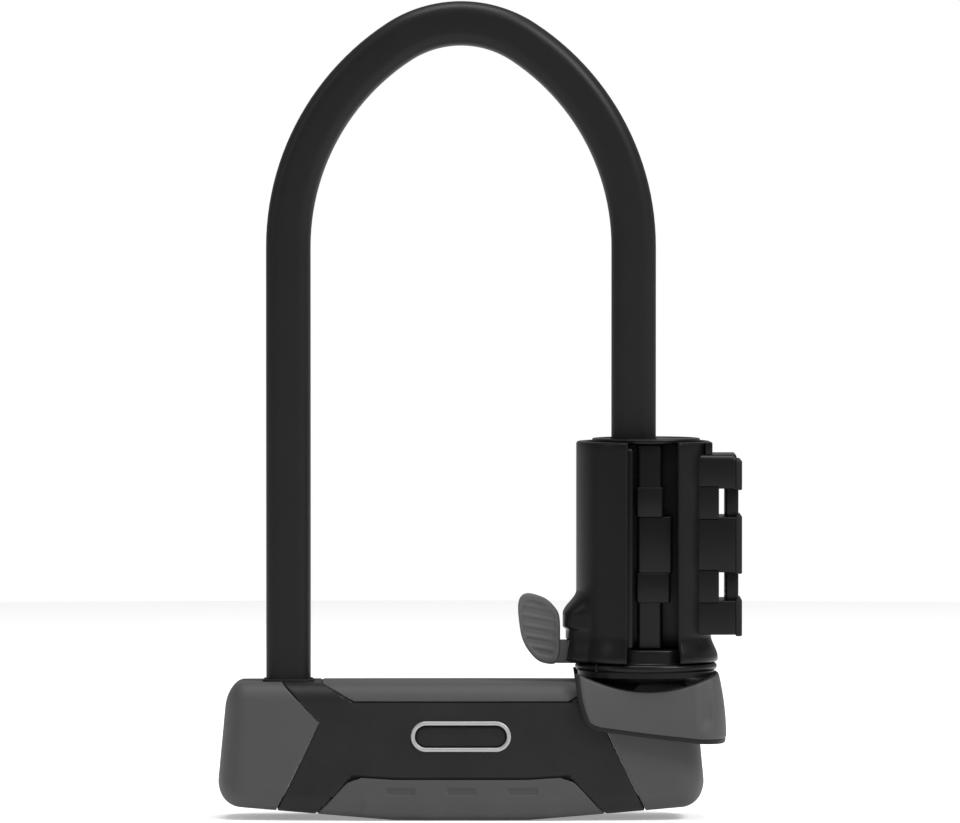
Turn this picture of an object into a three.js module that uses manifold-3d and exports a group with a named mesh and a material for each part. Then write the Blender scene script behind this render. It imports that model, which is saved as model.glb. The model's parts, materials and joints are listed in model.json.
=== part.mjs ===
// A bicycle U lock with its frame bracket, in millimetres, +Z up, front towards -Y.
// The origin is on the ground under the middle of the whole object, bracket included. Every
// function below works from the crossbar's own middle, or from the spool's axis where it says so.
// The straight legs of the shackle stand along +Z. The bracket grips a spool on the crossbar,
// round the leg on +X.

import * as THREE from "three";
import { mergeVertices } from "three/addons/utils/BufferGeometryUtils.js";
import Module from "manifold-3d";

const wasm = await Module();
wasm.setup();

// Clearances
const FIT = 0.3; // between pieces that touch
const SEAM = 0.4; // across the seams of the crossbar's shell, measured along X or Z
const PAST = 5; // how far a cutting solid runs past what it cuts

// Shackle
const INSIDE_WIDTH = 108.5; // clear, between the coated legs
const INSIDE_HEIGHT = 229; // clear, from the crossbar's top to the inside of the arch
const BAR_SIZE = 13; // the square steel bar
const BAR_ROUND = 4;
const COAT_WALL = 1.5; // from the steel's face to the coat's outside
const COAT_ROUND = 5.5;
const CROWN_RADIUS = 41; // centre line, at the top of the arch
const FLANK_OFFSET = 26; // each flank arc's centre lies this far past the middle
const ARCH_STEPS = 24;
const FOOT_DEPTH = 36; // how far the steel goes into the crossbar

// Crossbar
const BODY_HEIGHT = 49.5;
const BODY_HALF_DEPTH = 22; // at the middle
const BODY_END_DEPTH = 19.3; // half depth where the end rounding starts
const BODY_END_WALL = 18.2; // from a leg's outer face to the end of the crossbar
const BODY_END_SLOPE = 4; // how much shorter the top is than the foot, at each end
const BODY_FOOT_HALF = 24; // half length of the flat underside
const BODY_FOOT_RISE = 5.2; // how far the underside rises towards the ends
const BODY_EDGE = 7; // rounding along the long edges
const BODY_CORNER = 9; // rounding at the ends, seen from the front
const BODY_NOSE = 12; // rounding at the ends, seen from above

// Seams of the crossbar's shell, as distances inwards from the crossbar's end
const CAP_TOP_INSET = 24.3;
const CAP_POINT_INSET = 37.3;
const CAP_FOOT_INSET = 22.1;
const CAP_POINT_HEIGHT = 35;
const BAND_TOP = 14.2; // black band between an end cap and the top strip
const BAND_FOOT = 14.8;
const TOP_STRIP_SLOPE = 11.6;
const TOP_STRIP_LIP = 6.4; // how far the top strip comes down the front
const FOOT_STRIP_SLOPE = 12.6;
const FOOT_STRIP_HEIGHT = 15;

// Steel box tube inside the shell
const TUBE_WALL = 3;
const TUBE_FLOOR = 7; // height of the tube's underside
const TUBE_HALF_DEPTH = 17.5;
const TOP_WALL = 3.2; // shell above the tube
const TUBE_END_ROOM = 9.5; // from a steel leg's face to the tube's end
const END_PLUG_LENGTH = 3;
const SOCKET_INNER_WALL = 4;
const SOCKET_FIT = 0.3; // each side of the steel foot

// Bolts and cam
const BOLT_FLOOR = 31;
const BOLT_HEIGHT = 7;
const BOLT_WIDTH = 10;
const NOTCH_DEPTH = 6.5; // in the inner face of each foot
const CAM_RADIUS = 10;
const CAM_THICKNESS = 2.8;
const PIN_RADIUS = 1.5;
const PIN_ORBIT = 4.5; // the two cam pins' distance from the axis
const YOKE_DEPTH = 9; // how far a bolt's slotted plate reaches from the middle plane

// Key cylinder, on the Z axis
const CYLINDER_RADIUS = 12;
const PLUG_RADIUS = 8;
const PLUG_WALL = 1.7;
const PLUG_FLOOR = 2.4;
const DISC_COUNT = 5;
const DISC_THICKNESS = 1.8;
const DISC_PITCH = 2.7;
const SIDEBAR_RADIUS = 0.6;
const KEYWAY_WIDTH = 2.8;
const KEYWAY_LENGTH = 8;

// Keyhole shutter, in a pocket of the bottom strip
const KEYHOLE_WIDTH = 5;
const KEYHOLE_LENGTH = 9;
const SHUTTER_TRAVEL = 7.2;
const SHUTTER_THICKNESS = 1.5;
const SHUTTER_LENGTH = 11;
const SHUTTER_WIDTH = 13;
const POCKET_FLOOR = 3;
const SPRING_WIRE = 0.4;
const SPRING_WIDTH = 1.2;

// Badge on the front cover
const BADGE_HALF_WIDTH = 18;
const BADGE_HALF_HEIGHT = 5.5;
const BADGE_HEIGHT = 30.5; // centre
const BADGE_WALL = 1.4;
const BADGE_RECESS = 1.2;

// Adapter: the spool on the crossbar, which the bracket grips
const AXIS_OFFSET = 4.5; // the spool's axis lies this far outside the leg's
const LEG_FIT = 0.3; // each side of the coated leg
const NECK_RADIUS = 21.5;
const NECK_HEIGHT = 3.9; // from the crossbar's top to the ring
const RING_MARGIN = 0.4; // how far the ring reaches past the bracket's housing
const RING_HEIGHT = 2.9;
const HUB_CLEARANCE = 0.6; // between the hub and the housing's bore
const HUB_HEIGHT = 5.1;
const SPOOL_REACH = 17; // the spool's ribs, from its axis
const SPOOL_RIB_WIDTH = 12.2;
const SPOOL_RIB_OFFSET = 3; // the front and back ribs, from the spool's axis
const SPOOL_BAND = 0.6; // how far the bands stand out from the ribs
const SPOOL_BAND_HEIGHT = 10.6;
const SPOOL_BAND_PITCH = 30.9;
const SPOOL_CAP_CLEARANCE = 2.7; // between the cap and the housing's bore
const SPOOL_CAP_HEIGHT = 1.7;
const SPOOL_CAP_RISE = 1.1; // above the bracket's top

// Boot: the grey shell that holds the adapter on the crossbar's corner
const BOOT_LEFT = 25; // from the spool's axis to the boot's inner edge
const BOOT_RIGHT = 29; // from the spool's axis to the boot's outer edge
const BOOT_WALL = 2.8;
const BOOT_SCOOP = 6.5; // how deep its top edge is scooped
const BOOT_DROP = 21; // how far it reaches down the crossbar
const GASKET_WIDTH = 1.6;
const GASKET_THICKNESS = 1.4;
const CLAMP_SCREW_DROP = 10; // below the crossbar's top
const CLAMP_SCREW_SPREAD = 12; // each side of the leg

// Bracket
const HOUSING_RADIUS = 25.2;
const HOUSING_WALL = 3;
const HOUSING_HEIGHT = 79.4;
const SLOT_WIDTH = 18.7;
const SLOT_OFFSET = 2.3; // the slot's middle, from the spool's axis
const SKIRT_FLARE = 0.7;
const SKIRT_HEIGHT = 8.5;
const RAIL_WIDTH = 2.2;
const RAIL_INSET = 7; // from the housing's foot, and 3 from its top
const BULGE_REACH = 4.9; // how far the lever's bulge stands out
const BULGE_FRONT = 12;
const BULGE_BACK = 8;
const BULGE_HEIGHT = 25.6;
const BULGE_SHELF = 12.1; // height of the step under its widest stretch
const SADDLE_HALF_DEPTH = 15;
const SADDLE_STANDOFF = 9.1; // contact face, from the housing's wall
const SADDLE_FLOOR = 10.1; // above the housing's foot
const SADDLE_HEIGHT = 64.8;
const PAD_THICKNESS = 1.5;
const STRAP_HEIGHT = 10.2;
const STRAP_PITCH = 30.1;
const STRAP_STANDOFF = 0.8; // from the housing's wall to the strap slits
const STRAP_GAP = 2.4;
const STRAP_BAR_HALF = 11; // the bar in each strap opening, from the middle plane
const SADDLE_SCREW_RADIUS = 2;

// Lever
const LEVER_PIN_RADIUS = 1.5;
const LEVER_PIN_STANDOFF = 0.8; // the pin's axis, outside the housing's wall
const LEVER_PIN_Y = -3;
const LEVER_THICKNESS = 4;
const LEVER_ARM_HEIGHT = 7.3;
const LEVER_POCKET_HEIGHT = 8.1;
const LEVER_PAD_REACH = 20.3; // the pad's far edge, from the pin's axis
const LEVER_PAD_WIDTH = 14.8;
const LEVER_PAD_HEIGHT = 25.4;

// What follows from the sizes above
const legSize = BAR_SIZE + 2 * COAT_WALL;
const legX = INSIDE_WIDTH / 2 + legSize / 2;
const flankRadius = legX + FLANK_OFFSET;
const crownRise = Math.sqrt((flankRadius - CROWN_RADIUS) ** 2 - FLANK_OFFSET ** 2);
const flankAngle = Math.atan2(crownRise, FLANK_OFFSET);
const archTop = BODY_HEIGHT + INSIDE_HEIGHT + legSize / 2;
const straightEnd = archTop - CROWN_RADIUS - crownRise;
const footEnd = BODY_HEIGHT - FOOT_DEPTH;

const bodyHalf = legX + legSize / 2 + BODY_END_WALL;
const capTop = bodyHalf - CAP_TOP_INSET;
const capPoint = bodyHalf - CAP_POINT_INSET;
const capFoot = bodyHalf - CAP_FOOT_INSET;
const tubeTop = BODY_HEIGHT - TOP_WALL - FIT;
const tubeHalf = legX + BAR_SIZE / 2 + TUBE_END_ROOM;
const roomFloor = TUBE_FLOOR + TUBE_WALL + FIT;
const roomTop = tubeTop - TUBE_WALL - FIT;
const roomHalfDepth = TUBE_HALF_DEPTH - TUBE_WALL - FIT;
const socketHalf = BAR_SIZE / 2 + SOCKET_FIT;
const socketInner = legX - socketHalf - SOCKET_INNER_WALL;
const plugOuter = tubeHalf - FIT;
const boltTop = BOLT_FLOOR + BOLT_HEIGHT;
const guideTop = boltTop + FIT;
const camFloor = BOLT_FLOOR - 2 * FIT - CAM_THICKNESS;
const cylinderTop = camFloor - FIT;
const boltTip = legX - BAR_SIZE / 2 - 2 * FIT;
const pinReach = PIN_ORBIT * Math.SQRT1_2;
const bushingHalf = legSize / 2 + LEG_FIT + 1.2;

const neckTop = BODY_HEIGHT + NECK_HEIGHT;
const bootRim = neckTop - FIT;
const ringTop = neckTop + RING_HEIGHT;
const hubTop = ringTop + HUB_HEIGHT;
const housingFloor = ringTop + FIT;
const housingTop = housingFloor + HOUSING_HEIGHT;
const spoolTop = housingTop + SPOOL_CAP_RISE - SPOOL_CAP_HEIGHT - FIT;
const bore = HOUSING_RADIUS - HOUSING_WALL;
const ringRadius = HOUSING_RADIUS + RING_MARGIN;
const hubRadius = bore - HUB_CLEARANCE;
const spoolCapRadius = bore - SPOOL_CAP_CLEARANCE;
const saddleReach = HOUSING_RADIUS + SADDLE_STANDOFF;
const strapSlotLeft = HOUSING_RADIUS + STRAP_STANDOFF;
const saddleFloor = housingFloor + SADDLE_FLOOR;
const saddleTop = saddleFloor + SADDLE_HEIGHT;
const saddleMiddle = (saddleFloor + saddleTop) / 2;
const plateReach = saddleReach - PAD_THICKNESS - FIT;
const leverFloor = housingFloor + 2 * FIT;
const leverPinX = -HOUSING_RADIUS - LEVER_PIN_STANDOFF;

const looks = {
  blackPlastic: { color: 0x1b1b1d, roughness: 0.55, metalness: 0 },
  greyPlastic: { color: 0x4e4e50, roughness: 0.6, metalness: 0 },
  darkCoat: { color: 0x202022, roughness: 0.5, metalness: 0 },
  rubber: { color: 0x151515, roughness: 0.8, metalness: 0 },
  steel: { color: 0x8c8e91, roughness: 0.35, metalness: 1 },
  zinc: { color: 0x9a9c9f, roughness: 0.45, metalness: 1 },
  brass: { color: 0xb08d4a, roughness: 0.35, metalness: 1 },
  badge: { color: 0x9a9a9b, roughness: 0.4, metalness: 0.6 },
};

// --- helpers ------------------------------------------------------------------------------

// A closed solid from any three.js geometry.
function solid(geometry) {
  geometry.deleteAttribute("normal");
  geometry.deleteAttribute("uv");
  const merged = mergeVertices(geometry, 1e-4);
  return new wasm.Manifold(
    new wasm.Mesh({
      numProp: 3,
      vertProperties: new Float32Array(merged.attributes.position.array),
      triVerts: new Uint32Array(merged.index.array),
    }),
  );
}

// A named mesh from a solid.
function piece(name, body, look) {
  const { vertProperties, triVerts } = body.getMesh();
  const geometry = new THREE.BufferGeometry();
  geometry.setAttribute("position", new THREE.BufferAttribute(vertProperties, 3));
  geometry.setIndex(new THREE.BufferAttribute(triVerts, 1));
  geometry.computeVertexNormals();
  const mesh = new THREE.Mesh(geometry, new THREE.MeshStandardMaterial(look));
  mesh.name = name;
  return mesh;
}

// A box between two corners, each given as [x, y, z].
function box(low, high) {
  const size = high.map((value, axis) => value - low[axis]);
  const geometry = new THREE.BoxGeometry(...size);
  geometry.translate(...low.map((value, axis) => value + size[axis] / 2));
  return solid(geometry);
}

// Turns a geometry that was made along +Z so that it runs along another axis.
// Along "y" its outline is read as (x, z), and along "x" as (y, z).
function turn(geometry, axis, from, to) {
  if (axis === "y") {
    geometry.rotateX(Math.PI / 2).translate(0, to, 0);
  } else if (axis === "x") {
    const cyclic = new THREE.Matrix4().set(0, 0, 1, 0, 1, 0, 0, 0, 0, 1, 0, 0, 0, 0, 0, 1);
    geometry.applyMatrix4(cyclic).translate(from, 0, 0);
  } else {
    geometry.translate(0, 0, from);
  }
  return geometry;
}

// A flat outline pushed along an axis.
function prism(shape, axis, from, to, curveSegments = 4) {
  const geometry = new THREE.ExtrudeGeometry(shape, {
    depth: to - from,
    bevelEnabled: false,
    curveSegments,
  });
  return solid(turn(geometry, axis, from, to));
}

// A round bar along an axis, centred at (a, b) of the other two.
function rod(axis, radius, from, to, a = 0, b = 0, segments = 24) {
  const shape = new THREE.Shape();
  for (let index = 0; index < segments; index += 1) {
    const angle = (2 * Math.PI * index) / segments;
    const point = [a + radius * Math.cos(angle), b + radius * Math.sin(angle)];
    if (index === 0) {
      shape.moveTo(...point);
    } else {
      shape.lineTo(...point);
    }
  }
  shape.closePath();
  return prism(shape, axis, from, to, 1);
}

// A closed outline through corners [a, b, rounding].
function rounded(corners) {
  const shape = new THREE.Shape();
  const points = corners.map(([a, b]) => new THREE.Vector2(a, b));
  corners.forEach(([, , rounding = 0], index) => {
    const corner = points[index];
    const before = points.at(index - 1).clone().sub(corner).setLength(rounding).add(corner);
    const next = points[(index + 1) % points.length];
    const after = next.clone().sub(corner).setLength(rounding).add(corner);
    if (index === 0) {
      shape.moveTo(before.x, before.y);
    } else {
      shape.lineTo(before.x, before.y);
    }
    if (rounding > 0) {
      shape.quadraticCurveTo(corner.x, corner.y, after.x, after.y);
    }
  });
  shape.closePath();
  return shape;
}

function roundedRectangle(a0, a1, b0, b1, rounding) {
  return rounded([
    [a0, b0, rounding],
    [a1, b0, rounding],
    [a1, b1, rounding],
    [a0, b1, rounding],
  ]);
}

// A square passage for a leg, about (x, 0).
function legPassage(x, half, from, to) {
  return box([x - half, -half, from], [x + half, half, to]);
}

// Turned solid about +Z, from a profile of [radius, height] that starts and ends on the axis.
function turned(profile, segments = 40) {
  const points = profile.map(([radius, height]) => new THREE.Vector2(radius, height));
  return solid(new THREE.LatheGeometry(points, segments).rotateX(Math.PI / 2));
}

// --- shackle ------------------------------------------------------------------------------

// The centre line: up the left leg, over the arch in equal turns, and down the right leg.
class ShackleLine extends THREE.Curve {
  constructor(legFoot) {
    super();
    this.legFoot = legFoot;
  }

  station(t) {
    const step = Math.round(t * (ARCH_STEPS + 2)) - 1;
    return { step, angle: Math.PI * (1 - step / ARCH_STEPS) };
  }

  getPoint(t) {
    const { step, angle } = this.station(t);
    if (step < 0 || step > ARCH_STEPS) {
      return new THREE.Vector3(step < 0 ? -legX : legX, 0, this.legFoot);
    }
    const onCrown = Math.abs(angle - Math.PI / 2) < Math.PI / 2 - flankAngle;
    const centreX = onCrown ? 0 : Math.sign(angle - Math.PI / 2) * FLANK_OFFSET;
    const centreZ = onCrown ? straightEnd + crownRise : straightEnd;
    const radius = onCrown ? CROWN_RADIUS : flankRadius;
    return new THREE.Vector3(
      centreX + radius * Math.cos(angle),
      0,
      centreZ + radius * Math.sin(angle),
    );
  }

  getTangent(t) {
    const { step, angle } = this.station(t);
    const clamped = step < 0 ? Math.PI : step > ARCH_STEPS ? 0 : angle;
    return new THREE.Vector3(Math.sin(clamped), 0, -Math.cos(clamped));
  }

  getPointAt(t) {
    return this.getPoint(t);
  }

  getTangentAt(t) {
    return this.getTangent(t);
  }
}

function alongShackle(size, rounding, legFoot) {
  const half = size / 2;
  const geometry = new THREE.ExtrudeGeometry(roundedRectangle(-half, half, -half, half, rounding), {
    steps: ARCH_STEPS + 2,
    extrudePath: new ShackleLine(legFoot),
    curveSegments: 3,
  });
  return solid(geometry);
}

function shackleBar() {
  const notchFloor = BOLT_FLOOR - FIT;
  const notchTop = boltTop + FIT;
  let body = alongShackle(BAR_SIZE, BAR_ROUND, footEnd);
  for (const side of [-1, 1]) {
    const inner = side * (legX - BAR_SIZE / 2 - PAST);
    const deep = side * (legX - BAR_SIZE / 2 + NOTCH_DEPTH);
    const low = [Math.min(inner, deep), -BAR_SIZE, notchFloor];
    const high = [Math.max(inner, deep), BAR_SIZE, notchTop];
    body = body.subtract(box(low, high));
  }
  return piece("shackle_bar", body, looks.steel);
}

function shackleCoat() {
  const coatFoot = tubeTop + FIT;
  const outside = alongShackle(legSize, COAT_ROUND, coatFoot);
  const inside = alongShackle(BAR_SIZE + 2 * FIT, BAR_ROUND, coatFoot - PAST);
  return piece("shackle_coat", outside.subtract(inside), looks.darkCoat);
}

// --- crossbar shell -----------------------------------------------------------------------

// The crossbar's whole outside, grown by a margin.
function crossbarOutside(margin = 0) {
  const end = bodyHalf + margin;
  const top = BODY_HEIGHT + margin;
  const depth = BODY_HALF_DEPTH + margin;
  const fromFront = rounded([
    [-BODY_FOOT_HALF, -margin],
    [BODY_FOOT_HALF, -margin],
    [end, BODY_FOOT_RISE - margin, BODY_CORNER],
    [end - BODY_END_SLOPE, top, BODY_CORNER],
    [BODY_END_SLOPE - end, top, BODY_CORNER],
    [-end, BODY_FOOT_RISE - margin, BODY_CORNER],
  ]);
  const fromSide = roundedRectangle(-depth, depth, -margin, top, BODY_EDGE);
  const noseDepth = BODY_END_DEPTH + margin;
  const bow = 2 * depth - noseDepth;
  const noseStart = bodyHalf - BODY_NOSE;
  const fromAbove = new THREE.Shape();
  fromAbove.moveTo(-noseStart, -noseDepth);
  fromAbove.quadraticCurveTo(0, -bow, noseStart, -noseDepth);
  fromAbove.quadraticCurveTo(end, -noseDepth, end, 0);
  fromAbove.quadraticCurveTo(end, noseDepth, noseStart, noseDepth);
  fromAbove.quadraticCurveTo(0, bow, -noseStart, noseDepth);
  fromAbove.quadraticCurveTo(-end, noseDepth, -end, 0);
  fromAbove.quadraticCurveTo(-end, -noseDepth, -noseStart, -noseDepth);
  return prism(fromFront, "y", -depth - PAST, depth + PAST)
    .intersect(prism(fromSide, "x", -end - PAST, end + PAST, 3))
    .intersect(prism(fromAbove, "z", -PAST, top + PAST, 6));
}

// The outside less the room for the steel tube and the two legs.
function crossbarShell() {
  const room = box(
    [-tubeHalf - FIT, -TUBE_HALF_DEPTH - FIT, TUBE_FLOOR - FIT],
    [tubeHalf + FIT, TUBE_HALF_DEPTH + FIT, tubeTop + FIT],
  );
  let shell = crossbarOutside().subtract(room);
  for (const x of [-legX, legX]) {
    shell = shell.subtract(legPassage(x, bushingHalf + FIT, tubeTop, BODY_HEIGHT + PAST));
  }
  return shell;
}

// Regions of the shell, seen from the front and cut right through from front to back.
// A margin moves each seam outwards.
function across(shape) {
  return prism(shape, "y", -BODY_HALF_DEPTH - PAST, BODY_HALF_DEPTH + PAST);
}

function endCapRegion(side, margin = 0) {
  const outer = side * (bodyHalf + PAST);
  const seam = [
    [capTop, BODY_HEIGHT + PAST],
    [capTop, BODY_HEIGHT],
    [capPoint, CAP_POINT_HEIGHT],
    [capFoot, 0],
    [capFoot, -PAST],
  ];
  const corners = seam.map(([x, z]) => [side * (x - margin), z]);
  return across(rounded([[outer, BODY_HEIGHT + PAST], ...corners, [outer, -PAST]]));
}

function topStripRegion(margin = 0) {
  const atTop = capTop - BAND_TOP + margin;
  const atSeam = atTop - TOP_STRIP_SLOPE;
  const seam = BODY_HEIGHT - TOP_STRIP_LIP - margin;
  return across(
    rounded([
      [-atTop, BODY_HEIGHT + PAST],
      [-atTop, BODY_HEIGHT],
      [-atSeam, seam],
      [atSeam, seam],
      [atTop, BODY_HEIGHT],
      [atTop, BODY_HEIGHT + PAST],
    ]),
  );
}

function bottomStripRegion(margin = 0) {
  const atFoot = capFoot - BAND_FOOT + margin;
  const atSeam = atFoot - FOOT_STRIP_SLOPE;
  const seam = FOOT_STRIP_HEIGHT + margin;
  return across(
    rounded([
      [-atFoot, -PAST],
      [atFoot, -PAST],
      [atFoot, 0],
      [atSeam, seam, 4],
      [-atSeam, seam, 4],
      [-atFoot, 0],
    ]),
  );
}

function badgeOutline(grow) {
  const half = BADGE_HALF_WIDTH + grow;
  const height = BADGE_HALF_HEIGHT + grow;
  return roundedRectangle(-half, half, BADGE_HEIGHT - height, BADGE_HEIGHT + height, height);
}

// Room in the front cover for the badge.
function badgeRecess() {
  const floor = -BODY_HALF_DEPTH + BADGE_RECESS;
  return prism(badgeOutline(FIT), "y", -BODY_HALF_DEPTH - PAST, floor, 5);
}

// Through holes for the two screws that clamp the boot on, at the back.
function clampScrewHoles(radius, from, to) {
  const height = BODY_HEIGHT - CLAMP_SCREW_DROP;
  const left = rod("y", radius, from, to, legX - CLAMP_SCREW_SPREAD, height, 16);
  return left.add(rod("y", radius, from, to, legX + CLAMP_SCREW_SPREAD, height, 16));
}

function crossbarCovers(shell) {
  const screwRoom = clampScrewHoles(1.5 + FIT, TUBE_HALF_DEPTH, BODY_HALF_DEPTH + PAST);
  const middle = shell
    .subtract(endCapRegion(-1, SEAM))
    .subtract(endCapRegion(1, SEAM))
    .subtract(topStripRegion(SEAM))
    .subtract(bottomStripRegion(SEAM))
    .subtract(screwRoom);
  const end = bodyHalf + PAST;
  const depth = BODY_HALF_DEPTH + PAST;
  const top = BODY_HEIGHT + PAST;
  const frontHalf = box([-end, -depth, -PAST], [end, -FIT / 2, top]);
  const backHalf = box([-end, FIT / 2, -PAST], [end, depth, top]);
  return [
    piece("front_cover", middle.intersect(frontHalf).subtract(badgeRecess()), looks.blackPlastic),
    piece("rear_cover", middle.intersect(backHalf), looks.blackPlastic),
    piece("left_end_cap", shell.intersect(endCapRegion(-1)), looks.greyPlastic),
    piece("right_end_cap", shell.intersect(endCapRegion(1)).subtract(screwRoom), looks.greyPlastic),
    piece("top_strip", shell.intersect(topStripRegion()), looks.greyPlastic),
  ];
}

// Where the shutter lies at rest, along X. It covers the keyhole and slides towards +X.
const shutterLeft = -KEYHOLE_WIDTH / 2 - 2;
const shutterRight = shutterLeft + SHUTTER_LENGTH;
const gripLeft = shutterRight - 2.3;
const gripHalf = 3;
const pocketRight = shutterRight + SHUTTER_TRAVEL + 0.5;

function bottomStrip(shell) {
  const keyHalf = KEYHOLE_WIDTH / 2;
  const lengthHalf = KEYHOLE_LENGTH / 2;
  const pocketHalf = SHUTTER_WIDTH / 2 + FIT;
  const keyhole = box([-keyHalf, -lengthHalf, -PAST], [keyHalf, lengthHalf, POCKET_FLOOR + FIT]);
  const gripSlot = box(
    [gripLeft - FIT, -gripHalf - FIT, -PAST],
    [pocketRight, gripHalf + FIT, POCKET_FLOOR + FIT],
  );
  const pocket = box(
    [shutterLeft - FIT, -pocketHalf, POCKET_FLOOR],
    [pocketRight, pocketHalf, TUBE_FLOOR],
  );
  const body = shell.intersect(bottomStripRegion()).subtract(keyhole).subtract(gripSlot);
  return piece("bottom_strip", body.subtract(pocket), looks.greyPlastic);
}

function badge() {
  const outer = -BODY_HALF_DEPTH - 0.5;
  const back = -BODY_HALF_DEPTH + BADGE_RECESS - FIT;
  const hole = prism(badgeOutline(-BADGE_WALL), "y", outer - PAST, back + PAST, 5);
  const ring = prism(badgeOutline(0), "y", outer, back, 5).subtract(hole);
  const plateOutline = badgeOutline(-BADGE_WALL - FIT);
  const plate = prism(plateOutline, "y", -BODY_HALF_DEPTH, back, 5);
  return [piece("badge_ring", ring, looks.badge), piece("badge_plate", plate, looks.blackPlastic)];
}

// A lining where a leg enters the shell. Only the left one has a rim, because the adapter
// covers the right one.
function legBushing(name, x, hasRim) {
  const inner = legSize / 2 + LEG_FIT;
  const floor = tubeTop + FIT;
  let body = legPassage(x, bushingHalf, floor, BODY_HEIGHT);
  if (hasRim) {
    body = body.add(legPassage(x, bushingHalf + 0.9, BODY_HEIGHT + FIT, BODY_HEIGHT + 1.3));
    body = body.add(legPassage(x, bushingHalf, BODY_HEIGHT - 1, BODY_HEIGHT + 1));
  }
  return piece(name, body.subtract(legPassage(x, inner, 0, BODY_HEIGHT + PAST)), looks.rubber);
}

// --- lock works ---------------------------------------------------------------------------

function lockTube() {
  const inside = TUBE_HALF_DEPTH - TUBE_WALL;
  let body = box([-tubeHalf, -TUBE_HALF_DEPTH, TUBE_FLOOR], [tubeHalf, TUBE_HALF_DEPTH, tubeTop])
    .subtract(
      box(
        [-tubeHalf - PAST, -inside, TUBE_FLOOR + TUBE_WALL],
        [tubeHalf + PAST, inside, tubeTop - TUBE_WALL],
      ),
    )
    .subtract(rod("z", CYLINDER_RADIUS + FIT, 0, roomFloor + 1));
  for (const x of [-legX, legX]) {
    body = body.subtract(legPassage(x, socketHalf, roomTop - 1, tubeTop + PAST));
  }
  return piece("lock_tube", body, looks.steel);
}

function endPlug(name, side) {
  const [low, high] = [side * plugOuter, side * (plugOuter - END_PLUG_LENGTH)].sort((a, b) => a - b);
  const body = box([low, -roomHalfDepth, roomFloor], [high, roomHalfDepth, roomTop]);
  return piece(name, body, looks.steel);
}

// Holds one square foot of the shackle. The bolt comes in from the middle.
function socketBlock(name, side) {
  const far = side * (plugOuter - END_PLUG_LENGTH - FIT);
  const [low, high] = [side * socketInner, far].sort((a, b) => a - b);
  const boltHalf = BOLT_WIDTH / 2 + FIT;
  const [boltLow, boltHigh] = [side * (socketInner - PAST), side * legX].sort((a, b) => a - b);
  const body = box([low, -roomHalfDepth, roomFloor], [high, roomHalfDepth, roomTop])
    .subtract(legPassage(side * legX, socketHalf, footEnd - FIT, roomTop + PAST))
    .subtract(box([boltLow, -boltHalf, BOLT_FLOOR - FIT], [boltHigh, boltHalf, boltTop + FIT]));
  return piece(name, body, looks.zinc);
}

// The block that guides both bolts, with a bore for the key cylinder and a well for the cam.
function boltGuide() {
  const end = socketInner - FIT;
  const boltHalf = BOLT_WIDTH / 2 + FIT;
  const yokeRoom = YOKE_DEPTH + FIT;
  const floor = BOLT_FLOOR - FIT;
  const yokeHalf = 2 * (YOKE_DEPTH + pinReach);
  const body = box([-end, -roomHalfDepth, roomFloor], [end, roomHalfDepth, guideTop])
    .subtract(rod("z", CYLINDER_RADIUS + FIT, 0, cylinderTop + FIT))
    .subtract(rod("z", CAM_RADIUS + FIT, cylinderTop, floor + FIT))
    .subtract(box([-end - PAST, -boltHalf, floor], [end + PAST, boltHalf, guideTop + PAST]))
    .subtract(box([-yokeHalf, -yokeRoom, floor], [yokeHalf, yokeRoom, guideTop + PAST]));
  return piece("bolt_guide", body, looks.zinc);
}

function boltCover() {
  const end = socketInner - FIT;
  const body = box([-end, -roomHalfDepth, guideTop + FIT], [end, roomHalfDepth, roomTop]);
  return piece("bolt_cover", body, looks.steel);
}

// A bolt with a slotted plate at its inner end. A cam pin works in the slot, which runs
// along Y, so a quarter turn of the cam moves the bolt out and back. The right bolt's plate
// is at the back and the left bolt's at the front, so the two pass each other.
function bolt(name, side) {
  const half = BOLT_WIDTH / 2;
  const slotHalf = PIN_RADIUS + FIT;
  const plateEnd = pinReach + slotHalf + 2.2;
  const barStart = plateEnd + 2 * pinReach + 1;
  const bar = [side * barStart, side * boltTip].sort((a, b) => a - b);
  const plate = [side * -plateEnd, side * (barStart + 2)].sort((a, b) => a - b);
  const yPlate = [side * FIT, side * YOKE_DEPTH].sort((a, b) => a - b);
  const slotX = side * -pinReach;
  const ySlot = [side * (pinReach - slotHalf), side * (PIN_ORBIT + slotHalf)].sort((a, b) => a - b);
  const body = box([bar[0], -half, BOLT_FLOOR], [bar[1], half, boltTop])
    .add(box([plate[0], yPlate[0], BOLT_FLOOR], [plate[1], yPlate[1], boltTop]))
    .subtract(box([slotX - slotHalf, ySlot[0], 0], [slotX + slotHalf, ySlot[1], boltTop + PAST]));
  return piece(name, body, looks.steel);
}

// The disc that the key turns, with one pin for each bolt.
function camDisc() {
  const top = camFloor + CAM_THICKNESS;
  const pinTop = boltTop - FIT;
  const body = rod("z", CAM_RADIUS, camFloor, top)
    .add(rod("z", PIN_RADIUS, camFloor, pinTop, -pinReach, pinReach, 16))
    .add(rod("z", PIN_RADIUS, camFloor, pinTop, pinReach, -pinReach, 16));
  return piece("cam_disc", body, looks.steel);
}

function cylinderHousing() {
  const body = rod("z", CYLINDER_RADIUS, TUBE_FLOOR, cylinderTop - FIT)
    .subtract(rod("z", PLUG_RADIUS + FIT, 0, cylinderTop + PAST));
  return piece("cylinder_housing", body, looks.brass);
}

const discSeat = TUBE_FLOOR + FIT + PLUG_FLOOR + FIT;

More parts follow.
